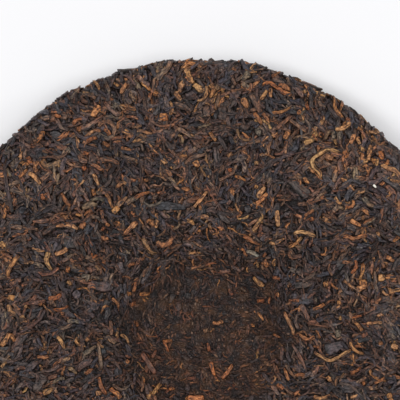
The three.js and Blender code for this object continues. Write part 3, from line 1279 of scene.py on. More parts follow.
def press_leaves(name, shapes, finish, density, low, high, **choices):
    """One piece with every leaf of a kind. low and high are poses: tilt, roll and lift."""
    piece = bpy.data.objects.new(name, guide.data)
    bpy.context.scene.collection.objects.link(piece)
    modifier = piece.modifiers.new("Press leaves", "NODES")
    modifier.node_group = press
    values = {
        "Leaf shapes": shapes,
        "Finish": finish,
        "Leaves per square metre": float(density),
        "Lowest pose": low,
        "Highest pose": high,
        "Patchiness": choices.get("patchiness", 1.5),
        "Share in the dimple": choices.get("in_dimple", 1.0),
        "Size in the dimple": choices.get("dimple_size", 0.8),
        "Share off the rim": choices.get("off_rim", 1.0),
        "Shortest": choices.get("shortest", 0.75),
        "Longest": choices.get("longest", 1.35),
        "Disorder": choices.get("disorder", 0.9),
        "Seed": choices["seed"],
    }
    for socket in press.interface.items_tree:
        if socket.in_out == "INPUT" and socket.name in values:
            modifier[socket.identifier] = values[socket.name]
    depsgraph = bpy.context.evaluated_depsgraph_get()
    evaluated = piece.evaluated_get(depsgraph)
    mesh = bpy.data.meshes.new_from_object(evaluated, preserve_all_data_layers=True, depsgraph=depsgraph)
    piece.modifiers.remove(modifier)
    piece.data = mesh
    mesh.name = name
    for attribute in SCRATCH_ATTRIBUTES:
        if attribute in mesh.attributes:
            mesh.attributes.remove(mesh.attributes[attribute])
    print(f"{name}: {sum(len(face.vertices) - 2 for face in mesh.polygons)} triangles")
    return piece


print("A finished piece no longer needs:", ", ".join(SCRATCH_ATTRIBUTES))

# %% [markdown]
# The bed: crumbs of broken leaf lie lowest and fill what the whole leaves leave open. They point every
# way, as small bits do.

# %% Crumbs of leaf
crumb_kind = LeafKind(
    16, (1.5 * MM, 3.2 * MM), (0.6 * MM, 1.4 * MM), (0.24 * MM, 0.38 * MM), 0.9, 2, SIMPLE
)
leaf_crumbs = press_leaves(
    "leaf_crumbs",
    leaf_library("crumb_shapes", crumb_kind, seed=11),
    crumb_leaf,
    186000,
    (-0.12 * MM, -0.2 * MM, -0.35 * MM),
    (0.12 * MM, 0.2 * MM, 0.15 * MM),
    disorder=math.pi,
    patchiness=0.5,
    in_dimple=1.2,
    dimple_size=0.9,
    seed=101,
)

# %% [markdown]
# Rolled leaves make most of the surface. They are 2 to 12 mm long and about 1 mm wide, black to
# brown, and lie over one another at many heights. That overlap gives the cake its black gaps. Some
# are nearly straight strips, and others dried curled.

# %% Rolled leaves
strip_kind = LeafKind(
    24, (2 * MM, 5.4 * MM), (0.6 * MM, 1.7 * MM), (0.28 * MM, 0.46 * MM), 0.8, 3, RIDGED, 0.3, 0.85
)
dark_strip_kind = LeafKind(
    24, (2 * MM, 5.8 * MM), (0.6 * MM, 1.7 * MM), (0.28 * MM, 0.46 * MM), 0.8, 3, SIMPLE, 0.3, 0.85
)
curl_kind = LeafKind(
    18, (3.6 * MM, 8 * MM), (0.7 * MM, 1.4 * MM), (0.3 * MM, 0.46 * MM), 2.3, 4, RIDGED, 0.6, 0.8
)
dark_strip_shapes = leaf_library("dark_strip_shapes", dark_strip_kind, seed=18)
brown_strip_shapes = leaf_library("brown_strip_shapes", strip_kind, seed=12)
curl_shapes = leaf_library("curl_shapes", curl_kind, seed=13)
STRIP_LOW = (-0.4 * MM, -0.3 * MM, -0.35 * MM)
STRIP_HIGH = (0.4 * MM, 0.3 * MM, 0.75 * MM)
dark_strips = press_leaves(
    "dark_strips",
    dark_strip_shapes,
    dark_leaf,
    130000,
    STRIP_LOW,
    STRIP_HIGH,
    patchiness=-1.5,
    in_dimple=0.7,
    seed=102,
)
brown_strips = press_leaves(
    "brown_strips",
    brown_strip_shapes,
    brown_leaf,
    108000,
    STRIP_LOW,
    STRIP_HIGH,
    patchiness=2.5,
    in_dimple=0.9,
    seed=103,
)
dark_curls = press_leaves(
    "dark_curls",
    curl_shapes,
    dark_leaf,
    46000,
    STRIP_LOW,
    STRIP_HIGH,
    patchiness=-1.5,
    in_dimple=0.3,
    seed=104,
)
brown_curls = press_leaves(
    "brown_curls",
    curl_shapes,
    brown_leaf,
    46000,
    STRIP_LOW,
    STRIP_HIGH,
    patchiness=2.5,
    in_dimple=0.5,
    seed=108,
)

# %% [markdown]
# Flat blades are pieces of older leaf, wide and dark, with a midrib. They are few, and each one shows as
# a calm patch. Stems are long, thin and round.

# %% Blades and stems
blade_kind = LeafKind(
    18, (2.8 * MM, 7.5 * MM), (1.4 * MM, 3.2 * MM), (0.22 * MM, 0.32 * MM), 0.9, 3, VEINED, 0.3, 0.7
)
stem_kind = LeafKind(
    8, (8 * MM, 15 * MM), (0.7 * MM, 1.1 * MM), (0.35 * MM, 0.5 * MM), 0.8, 6, ROUND, 0.35, 0.8
)
dark_blades = press_leaves(
    "dark_blades",
    leaf_library("blade_shapes", blade_kind, seed=14),
    blade_leaf,
    29000,
    (-0.2 * MM, -0.3 * MM, -0.2 * MM),
    (0.2 * MM, 0.3 * MM, 0.6 * MM),
    patchiness=-1.5,
    in_dimple=0.7,
    seed=105,
)
leaf_stems = press_leaves(
    "leaf_stems",
    leaf_library("stem_shapes", stem_kind, seed=15),
    stem_bark,
    4000,
    (-0.25 * MM, 0.0, 0.05 * MM),
    (0.25 * MM, 0.0, 0.35 * MM),
    in_dimple=0.1,
    seed=106,
)

# %% [markdown]
# The golden buds are the young tips. Their down turns gold when the leaf ripens, and they curl like
# small crescents. They lie on top, gathered in patches.

# %% Golden buds
bud_kind = LeafKind(
    18, (3.2 * MM, 7 * MM), (0.9 * MM, 1.8 * MM), (0.3 * MM, 0.46 * MM), 2.2, 5, PLUMP, 0.6
)
golden_buds = press_leaves(
    "golden_buds",
    leaf_library("bud_shapes", bud_kind, seed=16),
    golden_leaf,
    20000,
    (-0.3 * MM, -0.25 * MM, -0.1 * MM),
    (0.3 * MM, 0.25 * MM, 0.7 * MM),
    patchiness=3.0,
    in_dimple=0.8,
    disorder=1.5,
    seed=107,
)

# %% [markdown]
# Some leaves are easy to know again on this cake: a gold crescent over the dimple, a hooked stalk on the
# right, a black twig at the left edge. These are laid one by one where the photograph shows them, and so
# are wide dark blades where it has a calm dark patch. The rest are scattered. Each row is the leaf's
# width and then the pixels its middle runs through.

# %% Leaves laid one by one: where they are
GOLDEN_ROWS = (
    (4, (127, 81), (123, 87), (120, 93)),
    (2.5, (93, 82), (97, 84), (98, 89)),
    (3, (356, 137), (360, 144)),
    (4.5, (27, 172), (34, 176), (40, 184)),
    (3, (130, 211), (134, 214)),
    (3, (105, 223), (109, 225)),
    (2.5, (256, 262), (257, 268)),
    (3, (276, 292), (277, 297)),
    (3.5, (268, 297), (268, 304)),
    (7, (193, 83), (198, 87), (204, 91)),
    (5, (176, 90), (176, 95), (181, 99)),
    (2, (170, 166), (172, 168)),
    (5, (137, 221), (131, 226), (123, 234)),
    (4.5, (359, 145), (364, 151)),
    (5, (354, 133), (350, 143)),
    (3, (334, 138), (336, 144)),
    (4.5, (18, 254), (14, 260), (8, 269), (7, 277)),
    (4.5, (48, 251), (46, 260), (51, 270)),
    (5, (54, 254), (60, 252), (67, 248)),
    (5.5, (156, 242), (161, 245), (168, 244), (173, 237)),
    (3.5, (207, 190), (200, 199), (193, 207)),
    (4, (256, 203), (262, 198), (267, 192)),
    (5, (257, 197), (260, 192), (265, 186)),
    (4, (277, 209), (277, 218), (278, 226)),
    (4.2, (321, 178), (319, 172), (313, 166), (312, 159), (318, 154), (326, 149), (334, 150), (341, 152)),
    (5, (184, 80), (180, 86), (179, 92)),
    (4.5, (176, 93), (179, 98)),
    (3, (206, 84), (206, 93), (202, 99), (196, 100)),
    (4, (209, 83), (213, 90), (209, 97)),
    (4, (267, 89), (264, 94), (260, 99)),
    (3, (270, 87), (270, 97)),
    (3.5, (303, 91), (307, 87)),
    (2.5, (291, 79), (297, 77), (302, 79)),
    (3, (250, 67), (257, 66)),
    (3.5, (331, 97), (335, 104), (338, 110), (343, 118)),
    (4.5, (335, 129), (343, 127), (351, 121)),
    (4.5, (284, 138), (287, 133), (289, 129)),
    (4, (370, 144), (369, 152), (368, 160)),
    (4, (366, 158), (364, 163)),
    (4, (373, 157), (374, 163)),
    (3.5, (377, 158), (376, 165)),
    (3.5, (92, 173), (96, 179), (98, 185)),
    (5.5, (112, 212), (118, 206)),
    (4, (116, 187), (121, 182), (126, 183)),
    (7, (92, 116), (95, 110), (100, 105)),
    (4, (38, 160), (34, 167), (36, 171)),
    (5, (161, 158), (166, 163)),
    (6, (194, 160), (198, 166)),
    (4, (254, 162), (259, 162)),
    (4, (100, 237), (108, 238)),
    (7, (0, 247), (4, 242)),
    (5, (67, 284), (70, 281)),
    (5, (7, 296), (14, 298)),
    (4, (24, 307), (26, 305)),
    (4, (60, 314), (63, 311)),
    (3.5, (186, 220), (191, 221), (194, 225)),
    (4, (252, 231), (257, 224), (261, 216)),
    (3, (230, 189), (235, 192)),
    (4, (254, 186), (258, 186)),
    (4, (350, 219), (356, 223), (361, 225)),
    (3.5, (303, 177), (309, 183)),
    (4, (386, 256), (390, 258), (394, 261)),
    (6.5, (378, 277), (385, 277)),
    (5, (323, 284), (328, 283)),
    (4, (0, 346), (5, 340), (9, 332)),
    (3, (0, 367), (6, 361)),
    (4, (56, 336), (60, 340), (64, 349)),
    (3.5, (36, 356), (42, 357), (48, 356)),
    (4, (85, 338), (88, 340)),
    (4, (127, 362), (129, 359)),
    (5, (42, 393), (47, 391), (52, 388)),
    (5, (95, 393), (101, 392)),
    (4, (212, 322), (218, 323), (222, 320)),
    (5, (252, 277), (258, 283), (263, 286)),
    (3.5, (153, 393), (156, 388), (161, 382)),
    (6, (187, 396), (195, 397), (204, 396)),
    (4, (282, 311), (286, 318), (291, 327), (292, 335)),
    (3, (314, 352), (321, 356), (329, 360), (337, 357), (345, 352), (352, 349)),
    (2.8, (350, 341), (352, 347), (358, 352), (364, 353)),
    (3.5, (354, 321), (358, 325), (362, 331)),
    (3, (366, 323), (375, 322), (382, 322)),
    (4, (327, 376), (331, 381)),
    (5, (391, 345), (398, 347)),
    (4, (313, 396), (321, 398), (330, 394)),
    (6, (388, 393), (391, 398)),
    (3, (340, 315), (340, 320)),
    (4, (337, 302), (341, 302)),
    (5, (356, 290), (361, 287), (367, 285)),
    (3, (377, 231), (379, 237)),
    (3, (288, 247), (295, 243), (302, 236)),
    (4, (293, 233), (300, 231), (308, 233), (316, 236)),
)
AMBER_ROWS = (
    (3, (109, 98), (113, 99)),
    (2.5, (346, 117), (350, 120)),
    (5, (146, 222), (150, 220), (153, 226)),
    (5, (80, 228), (84, 221)),
    (3, (101, 230), (104, 226)),
    (7, (262, 261), (267, 267)),
    (3.5, (262, 257), (265, 253)),
    (4, (271, 277), (279, 279)),
    (4, (257, 246), (256, 252)),
    (4, (256, 301), (263, 300)),
    (4, (262, 84), (268, 82), (276, 87), (284, 92), (292, 94)),
    (4.5, (278, 84), (284, 85), (290, 90)),
    (6, (242, 97), (247, 107)),
    (5, (344, 150), (347, 157)),
    (4, (362, 152), (362, 160)),
    (4, (18, 177), (23, 172), (27, 168)),
    (5, (379, 150), (381, 155), (383, 159)),
    (3, (388, 159), (386, 164)),
    (4, (373, 133), (378, 138)),
    (3.5, (358, 126), (364, 128)),
    (4, (262, 112), (265, 116), (268, 120)),
    (3, (306, 103), (308, 109)),
    (4, (297, 113), (301, 110)),
    (3, (91, 252), (92, 257), (97, 254)),
    (3.5, (141, 260), (145, 258)),
    (5, (43, 130), (40, 136), (36, 142)),
    (5, (27, 156), (30, 163)),
    (4, (60, 192), (65, 200), (70, 206)),
    (3.5, (92, 188), (94, 195)),
    (3.5, (105, 192), (109, 200), (112, 208)),
    (4, (103, 128), (108, 131), (110, 134)),
    (4, (86, 141), (91, 138), (97, 137)),
    (4, (102, 141), (109, 146)),
    (3.5, (120, 147), (131, 149)),
    (4, (81, 168), (86, 167)),
    (4, (41, 193), (43, 199)),
    (3.5, (82, 152), (88, 153)),
    (3.5, (53, 113), (60, 116)),
    (4, (72, 124), (76, 119), (82, 118)),
    (5, (76, 128), (81, 128)),
    (8, (163, 112), (163, 120)),
    (5, (153, 92), (158, 93)),
    (3.5, (150, 92), (149, 99)),
    (3.5, (209, 131), (212, 136), (216, 140)),
    (4, (253, 112), (259, 119), (261, 124)),
    (3, (232, 64), (236, 68)),
    (3.5, (271, 112), (281, 111), (291, 106)),
    (3, (318, 144), (318, 151)),
    (2.5, (312, 133), (317, 140)),
    (3, (272, 73), (282, 75)),
    (3, (339, 103), (340, 111)),
    (3.5, (133, 198), (140, 194), (150, 191)),
    (3.5, (242, 236), (247, 238), (253, 242), (260, 245)),
    (4, (229, 167), (230, 171)),
    (3, (234, 175), (240, 177), (246, 180)),
    (3, (183, 178), (176, 184)),
    (3, (143, 180), (148, 179)),
    (2.5, (228, 207), (233, 210)),
    (3.5, (304, 215), (309, 212), (314, 209)),
    (4, (309, 218), (314, 219)),
    (4, (321, 195), (323, 199)),
    (3, (353, 199), (353, 204), (349, 207), (345, 205)),
    (4, (342, 236), (348, 236), (354, 238), (361, 235), (368, 235)),
    (3.5, (363, 262), (362, 272), (359, 280)),
    (3.5, (355, 259), (356, 266), (351, 273)),
    (3.5, (399, 236), (393, 241)),
    (7, (359, 282), (367, 282)),
    (4, (68, 266), (66, 272)),
    (4, (102, 263), (105, 260)),
    (3, (128, 267), (131, 264), (135, 264)),
    (3, (112, 298), (118, 303), (119, 309)),
    (4, (128, 294), (132, 293)),
    (5, (130, 305), (136, 303)),
    (4, (140, 294), (150, 294)),
    (4, (221, 378), (227, 371), (232, 363)),
    (4, (210, 361), (212, 369), (214, 375)),
    (3, (162, 341), (172, 340)),
    (3, (163, 341), (166, 346), (168, 352)),
    (3, (207, 342), (209, 351)),
    (3.5, (169, 388), (175, 387)),
    (4, (136, 282), (134, 292)),
    (3.5, (137, 322), (138, 326)),
    (3.5, (298, 333), (303, 337), (308, 339), (315, 336)),
    (3, (271, 333), (279, 337)),
    (2.5, (313, 346), (319, 347)),
    (4, (380, 341), (381, 345)),
    (3, (374, 383), (380, 380), (385, 377)),
    (3.5, (350, 373), (355, 371), (361, 367)),
    (3, (294, 376), (299, 374), (305, 375)),
    (4, (276, 383), (283, 388)),
    (3.5, (312, 309), (320, 306), (324, 303)),
    (2.5, (352, 317), (362, 315)),
    (3, (363, 381), (364, 385)),
    (3.5, (84, 374), (92, 368)),
    (4, (98, 376), (101, 387), (106, 394)),
    (5, (109, 388), (116, 393), (120, 398)),
    (3, (64, 365), (61, 375)),
    (4, (10, 333), (14, 341)),
    (4, (47, 298), (56, 297), (60, 293)),
    (3, (52, 309), (60, 309), (68, 305)),
    (3.5, (38, 305), (41, 302)),
    (3, (283, 367), (286, 374), (288, 380)),
)
OLIVE_ROWS = (
    (5, (132, 78), (136, 84), (140, 89)),
    (5, (112, 108), (117, 103)),
    (4, (333, 130), (333, 140)),
    (6, (325, 155), (333, 158)),
    (4, (142, 195), (141, 203)),
    (5, (290, 268), (295, 271)),
    (6, (241, 79), (246, 75), (250, 71)),
    (6, (214, 89), (218, 84)),
    (3, (6, 167), (10, 176)),
    (6, (81, 208), (89, 204), (97, 204)),
    (5, (339, 129), (339, 139)),
    (4.5, (116, 207), (121, 201), (127, 196)),
    (5, (125, 203), (131, 199), (138, 196)),
    (6.5, (41, 158), (45, 165), (52, 164), (62, 160)),
    (5, (66, 147), (69, 152)),
    (4.5, (97, 126), (103, 121), (110, 122), (114, 128), (112, 135)),
    (4, (116, 148), (116, 156)),
    (3, (58, 172), (56, 184)),
    (3.5, (88, 201), (96, 198), (104, 200)),
    (3, (197, 127), (204, 125), (211, 123)),
    (3, (177, 134), (182, 137), (181, 143)),
    (3, (232, 138), (236, 142)),
    (2.8, (237, 127), (238, 134), (243, 139), (250, 139)),
    (6, (257, 127), (259, 135)),
    (4, (227, 156), (232, 152)),
    (3, (325, 139), (327, 133), (331, 129)),
    (3, (299, 114), (306, 109)),
    (3, (300, 150), (304, 145)),
    (5, (133, 186), (138, 191)),
    (2.8, (142, 200), (148, 205), (157, 203), (163, 199)),
    (5, (142, 237), (146, 245), (151, 252), (158, 254)),
    (4, (95, 265), (99, 270)),
    (4, (80, 276), (88, 275), (85, 281)),
    (4, (48, 303), (53, 300)),
    (4.5, (82, 354), (89, 350), (96, 345)),
    (3, (57, 328), (65, 327), (72, 323)),
    (4, (66, 321), (72, 320), (79, 322)),
    (2.5, (40, 333), (46, 344)),
    (3, (48, 348), (51, 354)),
    (4, (67, 368), (72, 369), (76, 374)),
    (3, (52, 383), (57, 379), (64, 378)),
    (2.8, (97, 342), (99, 352), (101, 369)),
    (5, (203, 331), (208, 329)),
    (3, (195, 296), (197, 302)),
    (3, (240, 287), (246, 292)),
    (7, (335, 333), (341, 333)),
    (5, (363, 196), (368, 203), (374, 206)),
    (3, (362, 219), (364, 215)),
    (2.5, (294, 245), (302, 247)),
    (3, (208, 223), (211, 230)),
    (3, (173, 230), (180, 223)),
    (4, (111, 320), (112, 335)),
    (3.5, (67, 383), (69, 387)),
    (2.5, (315, 297), (316, 302)),
    (3, (274, 236), (279, 231)),
    (2.5, (200, 165), (202, 171), (206, 176)),
    (2.2, (173, 169), (176, 163)),
)
BROWN_ROWS = (
    (3, (102, 79), (107, 86), (109, 94)),
    (3.5, (80, 92), (88, 93), (95, 98)),
    (5, (103, 101), (110, 108), (118, 115)),
    (4, (136, 73), (142, 80), (149, 85)),
    (5, (8, 186), (14, 182), (21, 180)),
    (3.5, (101, 209), (102, 218)),
    (4, (89, 215), (99, 217)),
    (4, (156, 192), (153, 199)),
    (3, (130, 241), (133, 246)),
    (4, (152, 231), (155, 236)),
    (5, (292, 257), (302, 255)),
    (5, (297, 268), (301, 275)),
    (4, (304, 280), (310, 276), (315, 271)),
    (6, (157, 80), (161, 71), (167, 65), (172, 62)),
    (4, (193, 92), (196, 99)),
    (6, (78, 127), (86, 126), (94, 121), (103, 114)),
    (3, (122, 219), (123, 229)),
    (3, (3, 153), (8, 149), (13, 153), (12, 160)),
    (4, (272, 77), (278, 78), (285, 81)),
    (5, (294, 82), (299, 88), (303, 97)),
    (4, (282, 97), (290, 104)),
    (4, (152, 206), (153, 214)),
    (5, (97, 161), (103, 158), (112, 160), (119, 163)),
    (4, (56, 118), (60, 126), (67, 129)),
    (3, (50, 154), (60, 156), (66, 152), (68, 147)),
    (4, (103, 187), (109, 180), (110, 172)),
    (3, (148, 113), (151, 120), (160, 125), (172, 124)),
    (4, (176, 127), (184, 131), (191, 137)),
    (3.5, (191, 139), (196, 144), (201, 147)),
    (4, (184, 164), (191, 157), (199, 155), (206, 153)),
    (7, (206, 116), (206, 104)),
    (5, (250, 93), (255, 102), (260, 112)),
    (4.5, (276, 128), (284, 121), (292, 114)),
    (3, (274, 153), (280, 153), (286, 147)),
    (3, (177, 76), (180, 70), (184, 66)),
    (2.5, (217, 66), (214, 74)),
    (3, (219, 70), (224, 64)),
    (4.5, (300, 304), (305, 312), (309, 322)),
    (3, (290, 342), (297, 353), (303, 363), (307, 373)),
    (4, (281, 345), (280, 360)),
    (3, (284, 362), (290, 372), (296, 378)),
    (6, (142, 352), (148, 361), (156, 373)),
    (3, (152, 357), (156, 349)),
    (3, (378, 249), (381, 258), (384, 268)),
    (3, (318, 272), (319, 266)),
    (4, (361, 336), (368, 333)),
    (3, (35, 231), (40, 239)),
    (2.5, (20, 233), (26, 240)),
    (2.5, (101, 260), (108, 255), (115, 252)),
    (2.5, (3, 288), (9, 289), (14, 286)),
    (3, (1, 253), (7, 255), (11, 259)),
    (3, (36, 372), (37, 382)),
    (2.5, (256, 370), (266, 366)),
    (3, (113, 385), (121, 389), (129, 385)),
    (3, (344, 238), (349, 241), (354, 245)),
    (2.5, (170, 249), (176, 246), (182, 244)),
    (2.5, (160, 262), (170, 260), (176, 258)),
)
DARK_ROWS = (
    (4, (3, 160), (5, 178), (8, 196), (12, 214)),
    (8, (155, 205), (168, 205), (186, 207)),
    (6, (329, 101), (334, 111), (340, 119)),
    (4, (311, 92), (311, 108)),
    (4, (217, 134), (222, 142), (226, 150)),
    (4, (229, 135), (233, 144)),
    (9, (222, 105), (222, 120)),
    (5, (173, 293), (169, 303)),
    (6, (246, 205), (249, 212)),
)
CALM_ROWS = (
    (5, (101, 83), (104, 89), (106, 95)),
    (6, (143, 99), (144, 109)),
    (4, (20, 132), (22, 145), (26, 157)),
    (5, (74, 136), (74, 146), (74, 156)),
    (4, (111, 229), (118, 233), (122, 243)),
    (6, (273, 248), (274, 260)),
    (11, (288, 298), (301, 299), (314, 297)),
    (11, (88, 283), (100, 286), (113, 285)),
    (10, (325, 351), (335, 347), (346, 343)),
    (10, (289, 175), (299, 186), (310, 196)),
    (9, (342, 389), (353, 388), (365, 386)),
    (8, (10, 307), (7, 318), (3, 328)),
    (7, (388, 347), (392, 360), (396, 374)),
    (9, (43, 374), (39, 382), (34, 392)),
    (9, (158, 132), (166, 132), (175, 133)),
    (10, (61, 237), (68, 241), (76, 245)),
    (7, (75, 369), (83, 364), (92, 358)),
    (9, (23, 333), (17, 342), (11, 352)),
    (8, (346, 255), (341, 261), (336, 268)),
    (7, (254, 180), (263, 175), (273, 170)),
    (9, (224, 98), (226, 109), (227, 120)),
    (9, (379, 299), (388, 300), (397, 301)),
    (8, (10, 279), (13, 285), (17, 292)),
    (8, (48, 133), (55, 134), (62, 135)),
    (7, (293, 286), (303, 284), (313, 281)),
    (7, (24, 371), (30, 366), (36, 361)),
    (8, (308, 262), (308, 268), (309, 275)),
    (7, (66, 351), (66, 357), (67, 363)),
    (7, (364, 320), (371, 316), (378, 311)),
    (6, (215, 145), (216, 153), (217, 162)),
    (7, (88, 303), (87, 312), (87, 322)),
    (7, (323, 173), (329, 180), (335, 186)),
    (7, (129, 143), (135, 142), (141, 141)),
    (7, (115, 189), (116, 195), (117, 201)),
    (7, (390, 179), (393, 174), (397, 169)),
    (6, (267, 168), (270, 163), (273, 157)),
    (5, (228, 178), (234, 183), (240, 188)),
    (5, (181, 74), (186, 73), (192, 72)),
    (6, (263, 136), (266, 141), (268, 147)),
    (6, (212, 217), (215, 223), (217, 229)),
    (8, (329, 162), (331, 171), (327, 179)),
)
HUSK_ROWS = (
    (4, (245, 252), (252, 253), (258, 257)),
    (2, (397, 335), (399, 337)),
)
FLECK_ROWS = ((2.2, (373, 184), (376, 187)),)
ROW_TABLES = (
    GOLDEN_ROWS,
    AMBER_ROWS,
    OLIVE_ROWS,
    BROWN_ROWS,
    DARK_ROWS,
    CALM_ROWS,
    HUSK_ROWS,
    FLECK_ROWS,
)
print("Leaves to lay by hand:", sum(len(rows) for rows in ROW_TABLES))

# %% [markdown]
# A line of sight from the camera through a pixel meets the guide at one place, so the leaf ends up under
# its pixel whatever the height of the cake there. The leaf lies a little above the guide, which would
# carry it up the picture, so its place slides back along the guide by that much. Between the pixels the
# leaf follows a smooth curve. It is then pressed as the scattered leaves are, but its middle lies on top
# of them, and its ends dip in.

# %% Laying them
LINE_STEPS = 12  # points of the curve between two pixels of a row
RING_STEP = 1.2 * MM
END_RINGS = 0.07  # how far from each end, as a share of the leaf, its first and last rings are
LAID_ROLL = 0.5 * MM  # one edge of a leaf lies up to half of this above its middle, the other below
LAID_BLUNT = 0.75  # how wide the near end of a leaf is at least, as a share of its middle
LAID_WIDTH = 1.2  # the rounded edges of a leaf fall into the dark beside it
TIP_DIP = 0.35 * MM  # how much lower the ends lie than the middle
LAID_HEIGHT = 1.6 * MM  # about how far above the guide the top of a laid leaf is
LEAST_SLANT = 0.4  # keeps a leaf on the steep rim, seen almost edge on, from sliding far
guide_tree = BVHTree.FromPolygons(
    [vertex.co for vertex in guide.data.vertices], [polygon.vertices for polygon in guide.data.polygons]
)


def seen_at(pixel):
    """The place on the guide to lay a leaf that is to show in the middle of that pixel."""
    side = SENSOR_WIDTH / camera.data.lens / IMAGE_SIDE
    x, y = pixel.x + 0.5 - IMAGE_SIDE / 2, IMAGE_SIDE / 2 - pixel.y - 0.5
    sight = camera.rotation_euler.to_matrix() @ Vector((x * side, y * side, -1))
    place, normal, *_ = guide_tree.ray_cast(camera.location, sight)
    if place is None:  # the line of sight just misses the rim
        beside = camera.location + sight * ((OUTLINE_HEIGHT - camera.location.z) / sight.z)
        return guide_tree.find_nearest(beside)[0]
    back = -sight.normalized()
    return place + LAID_HEIGHT * (back / max(back.dot(normal), LEAST_SLANT) - normal)


def smooth_line(corners):
    """Points of a smooth curve through those places.

    A handle a sixth of the way between a place's two neighbours makes the curve pass it without a kink.
    """
    ends = [2 * corners[0] - corners[1], *corners, 2 * corners[-1] - corners[-2]]
    line = []
    for before, start, end, after in zip(ends, ends[1:], ends[2:], ends[3:]):
        handles = start + (end - before) / 6, end - (after - start) / 6
        line.extend(interpolate_bezier(start, *handles, end, LINE_STEPS)[: LINE_STEPS - 1])
    return line + [corners[-1]]


def row_line(row):
    """The line of a laid leaf, as leaf_line gives it, with the height of each point as well."""
    path = smooth_line([seen_at(Vector(pixel)) for pixel in row[1:]])
    length = sum((b - a).length for a, b in zip(path, path[1:]))
    rings = max(3, round(length / RING_STEP))
    shares = [END_RINGS + (1 - 2 * END_RINGS) * i / (rings - 1) for i in range(rings)]
    line = []
    for share in [0, *shares, 1]:
        index = min(int(share * (len(path) - 1)), len(path) - 2)
        step = path[index + 1] - path[index]
        place = path[index] + step * (share * (len(path) - 1) - index)
        line.append((place.x, place.y, math.atan2(step.y, step.x), 2 * share - 1, place.z))
    return line


def rimward_size(place):
    """How much larger the scattered leaves are there, so that a laid leaf clears them."""
    inner, outer = RIMWARD_RADII
    small, large = RIMWARD_SIZE
    return small + (large - small) * ease((place.xy.length - inner) / (outer - inner))


def lay_leaves(name, rows, finish, section, tones, lift, seed, thickness=(0.35 * MM, 0.55 * MM)):
    """One piece with a leaf along each row. tones is the range of its leaves' tones."""
    rand = random.Random(seed)
    strips = []
    for row in rows:
        line = row_line(row)
        flat = [point[:4] for point in line]
        half_width = row[0] * METRES_PER_PIXEL * LAID_WIDTH / 2
        tone, roll = mixed(rand, tones), LAID_ROLL * (rand.random() - 0.5)
        strip = []
        points = strip_points(rand, flat, half_width, mixed(rand, thickness), section, LAID_BLUNT)
        for number, (x, y, across, rise, along) in enumerate(points):
            ring = min((number - 1) // len(section) + 1, len(line) - 1) if number else 0
            place, normal, *_ = guide_tree.find_nearest(Vector((x, y, line[ring][4])))
            height = rise + lift * rimward_size(place) + roll * across - TIP_DIP * along ** 4
            values = {"across": across, "along": along, "leaf_tone": tone}
            strip.append((place + normal * height, values))
        strips.append(strip)
    mesh = strips_mesh(name, strips, len(section))
    mesh.materials.append(finish)
    piece = bpy.data.objects.new(name, mesh)
    bpy.context.scene.collection.objects.link(piece)
    print(f"{name}: {len(rows)} leaves, {sum(len(face.vertices) - 2 for face in mesh.polygons)} triangles")
    return piece


placed_gold = lay_leaves(
    "placed_gold", GOLDEN_ROWS, golden_leaf, RIDGED, (0.6, 0.95), 1.1 * MM, seed=201
)
placed_amber = lay_leaves(
    "placed_amber", AMBER_ROWS, amber_leaf, RIDGED, (0.55, 0.9), 1.05 * MM, seed=202
)
placed_olive = lay_leaves(
    "placed_olive", OLIVE_ROWS, olive_leaf, RIDGED, (0.5, 0.85), 1.0 * MM, seed=203
)
placed_brown = lay_leaves(
    "placed_brown", BROWN_ROWS, brown_leaf, RIDGED, (0.42, 0.75), 0.95 * MM, seed=204
)
placed_dark = lay_leaves(
    "placed_dark", DARK_ROWS, blade_leaf, VEINED, (0.1, 0.45), 0.95 * MM, seed=205
)
calm_blades = lay_leaves(
    "calm_blades",
    CALM_ROWS,
    blade_leaf,
    VEINED,
    (0.2, 0.7),
    0.5 * MM,
    seed=208,
    thickness=(0.15 * MM, 0.25 * MM),
)
husk = lay_leaves("husk", HUSK_ROWS, grey_husk, RIDGED, (0.5, 0.6), 0.8 * MM, seed=206)
flecks = lay_leaves("flecks", FLECK_ROWS, white_fleck, SIMPLE, (0.5, 0.6), 1.1 * MM, seed=207)

# %% [markdown]
# The rim was never pressed flat, so ends of leaf stick out of it. That makes the outline ragged. They
# are short leaves that lie on the rim alone, each tilted so that one end stands off.

# %% Loose ends round the rim
rim_end_kind = LeafKind(
    12, (2.2 * MM, 4.5 * MM), (1.1 * MM, 2.2 * MM), (0.5 * MM, 0.8 * MM), 1.0, 3, SIMPLE, 0.4, 0.85
)
rim_ends = press_leaves(
    "rim_ends",
    leaf_library("rim_end_shapes", rim_end_kind, seed=17),
    dark_leaf,
    60000,
    (-0.8 * MM, -0.3 * MM, -0.3 * MM),
    (0.8 * MM, 0.3 * MM, 0.8 * MM),
    disorder=math.pi,
    off_rim=0.0,
    patchiness=4.0,
    seed=109,
)

# %% [markdown]
# The body shows between the leaves as a bed of scraps. It is turned from the same section, a little
# lower than the leaves, and roughened by real relief of a crumb's size.

# %% The body of the cake
BODY_INSET = 0.45 * MM  # below the guide
GRIT_SIZES = (1.7 * MM, 5 * MM)
GRIT_DEPTH = 0.35 * MM


def body_offset(place):
    """How far the body lies from the real surface at a place, its grit counted: outwards is positive."""
    grit = sum(noise.noise(place / size) for size in GRIT_SIZES) * GRIT_DEPTH
    outside = clamp01((place - Vector(DIMPLE_CENTRE)).length / DIMPLE_MOUTH_RADIUS) ** 2
    flatter = FLATNESS_IN_DIMPLE + (1 - FLATNESS_IN_DIMPLE) * outside
    return guide_offset(place) + (grit * clamp01(place.z / FOOT_BLEND) - BODY_INSET) * flatter


cake_body = turned_disc("cake_body", spacing=0.95 * MM, steps=380, offset=body_offset)
cake_body.data.materials.append(pressed_bed)
print("The body has", 2 * len(cake_body.data.polygons), "triangles")

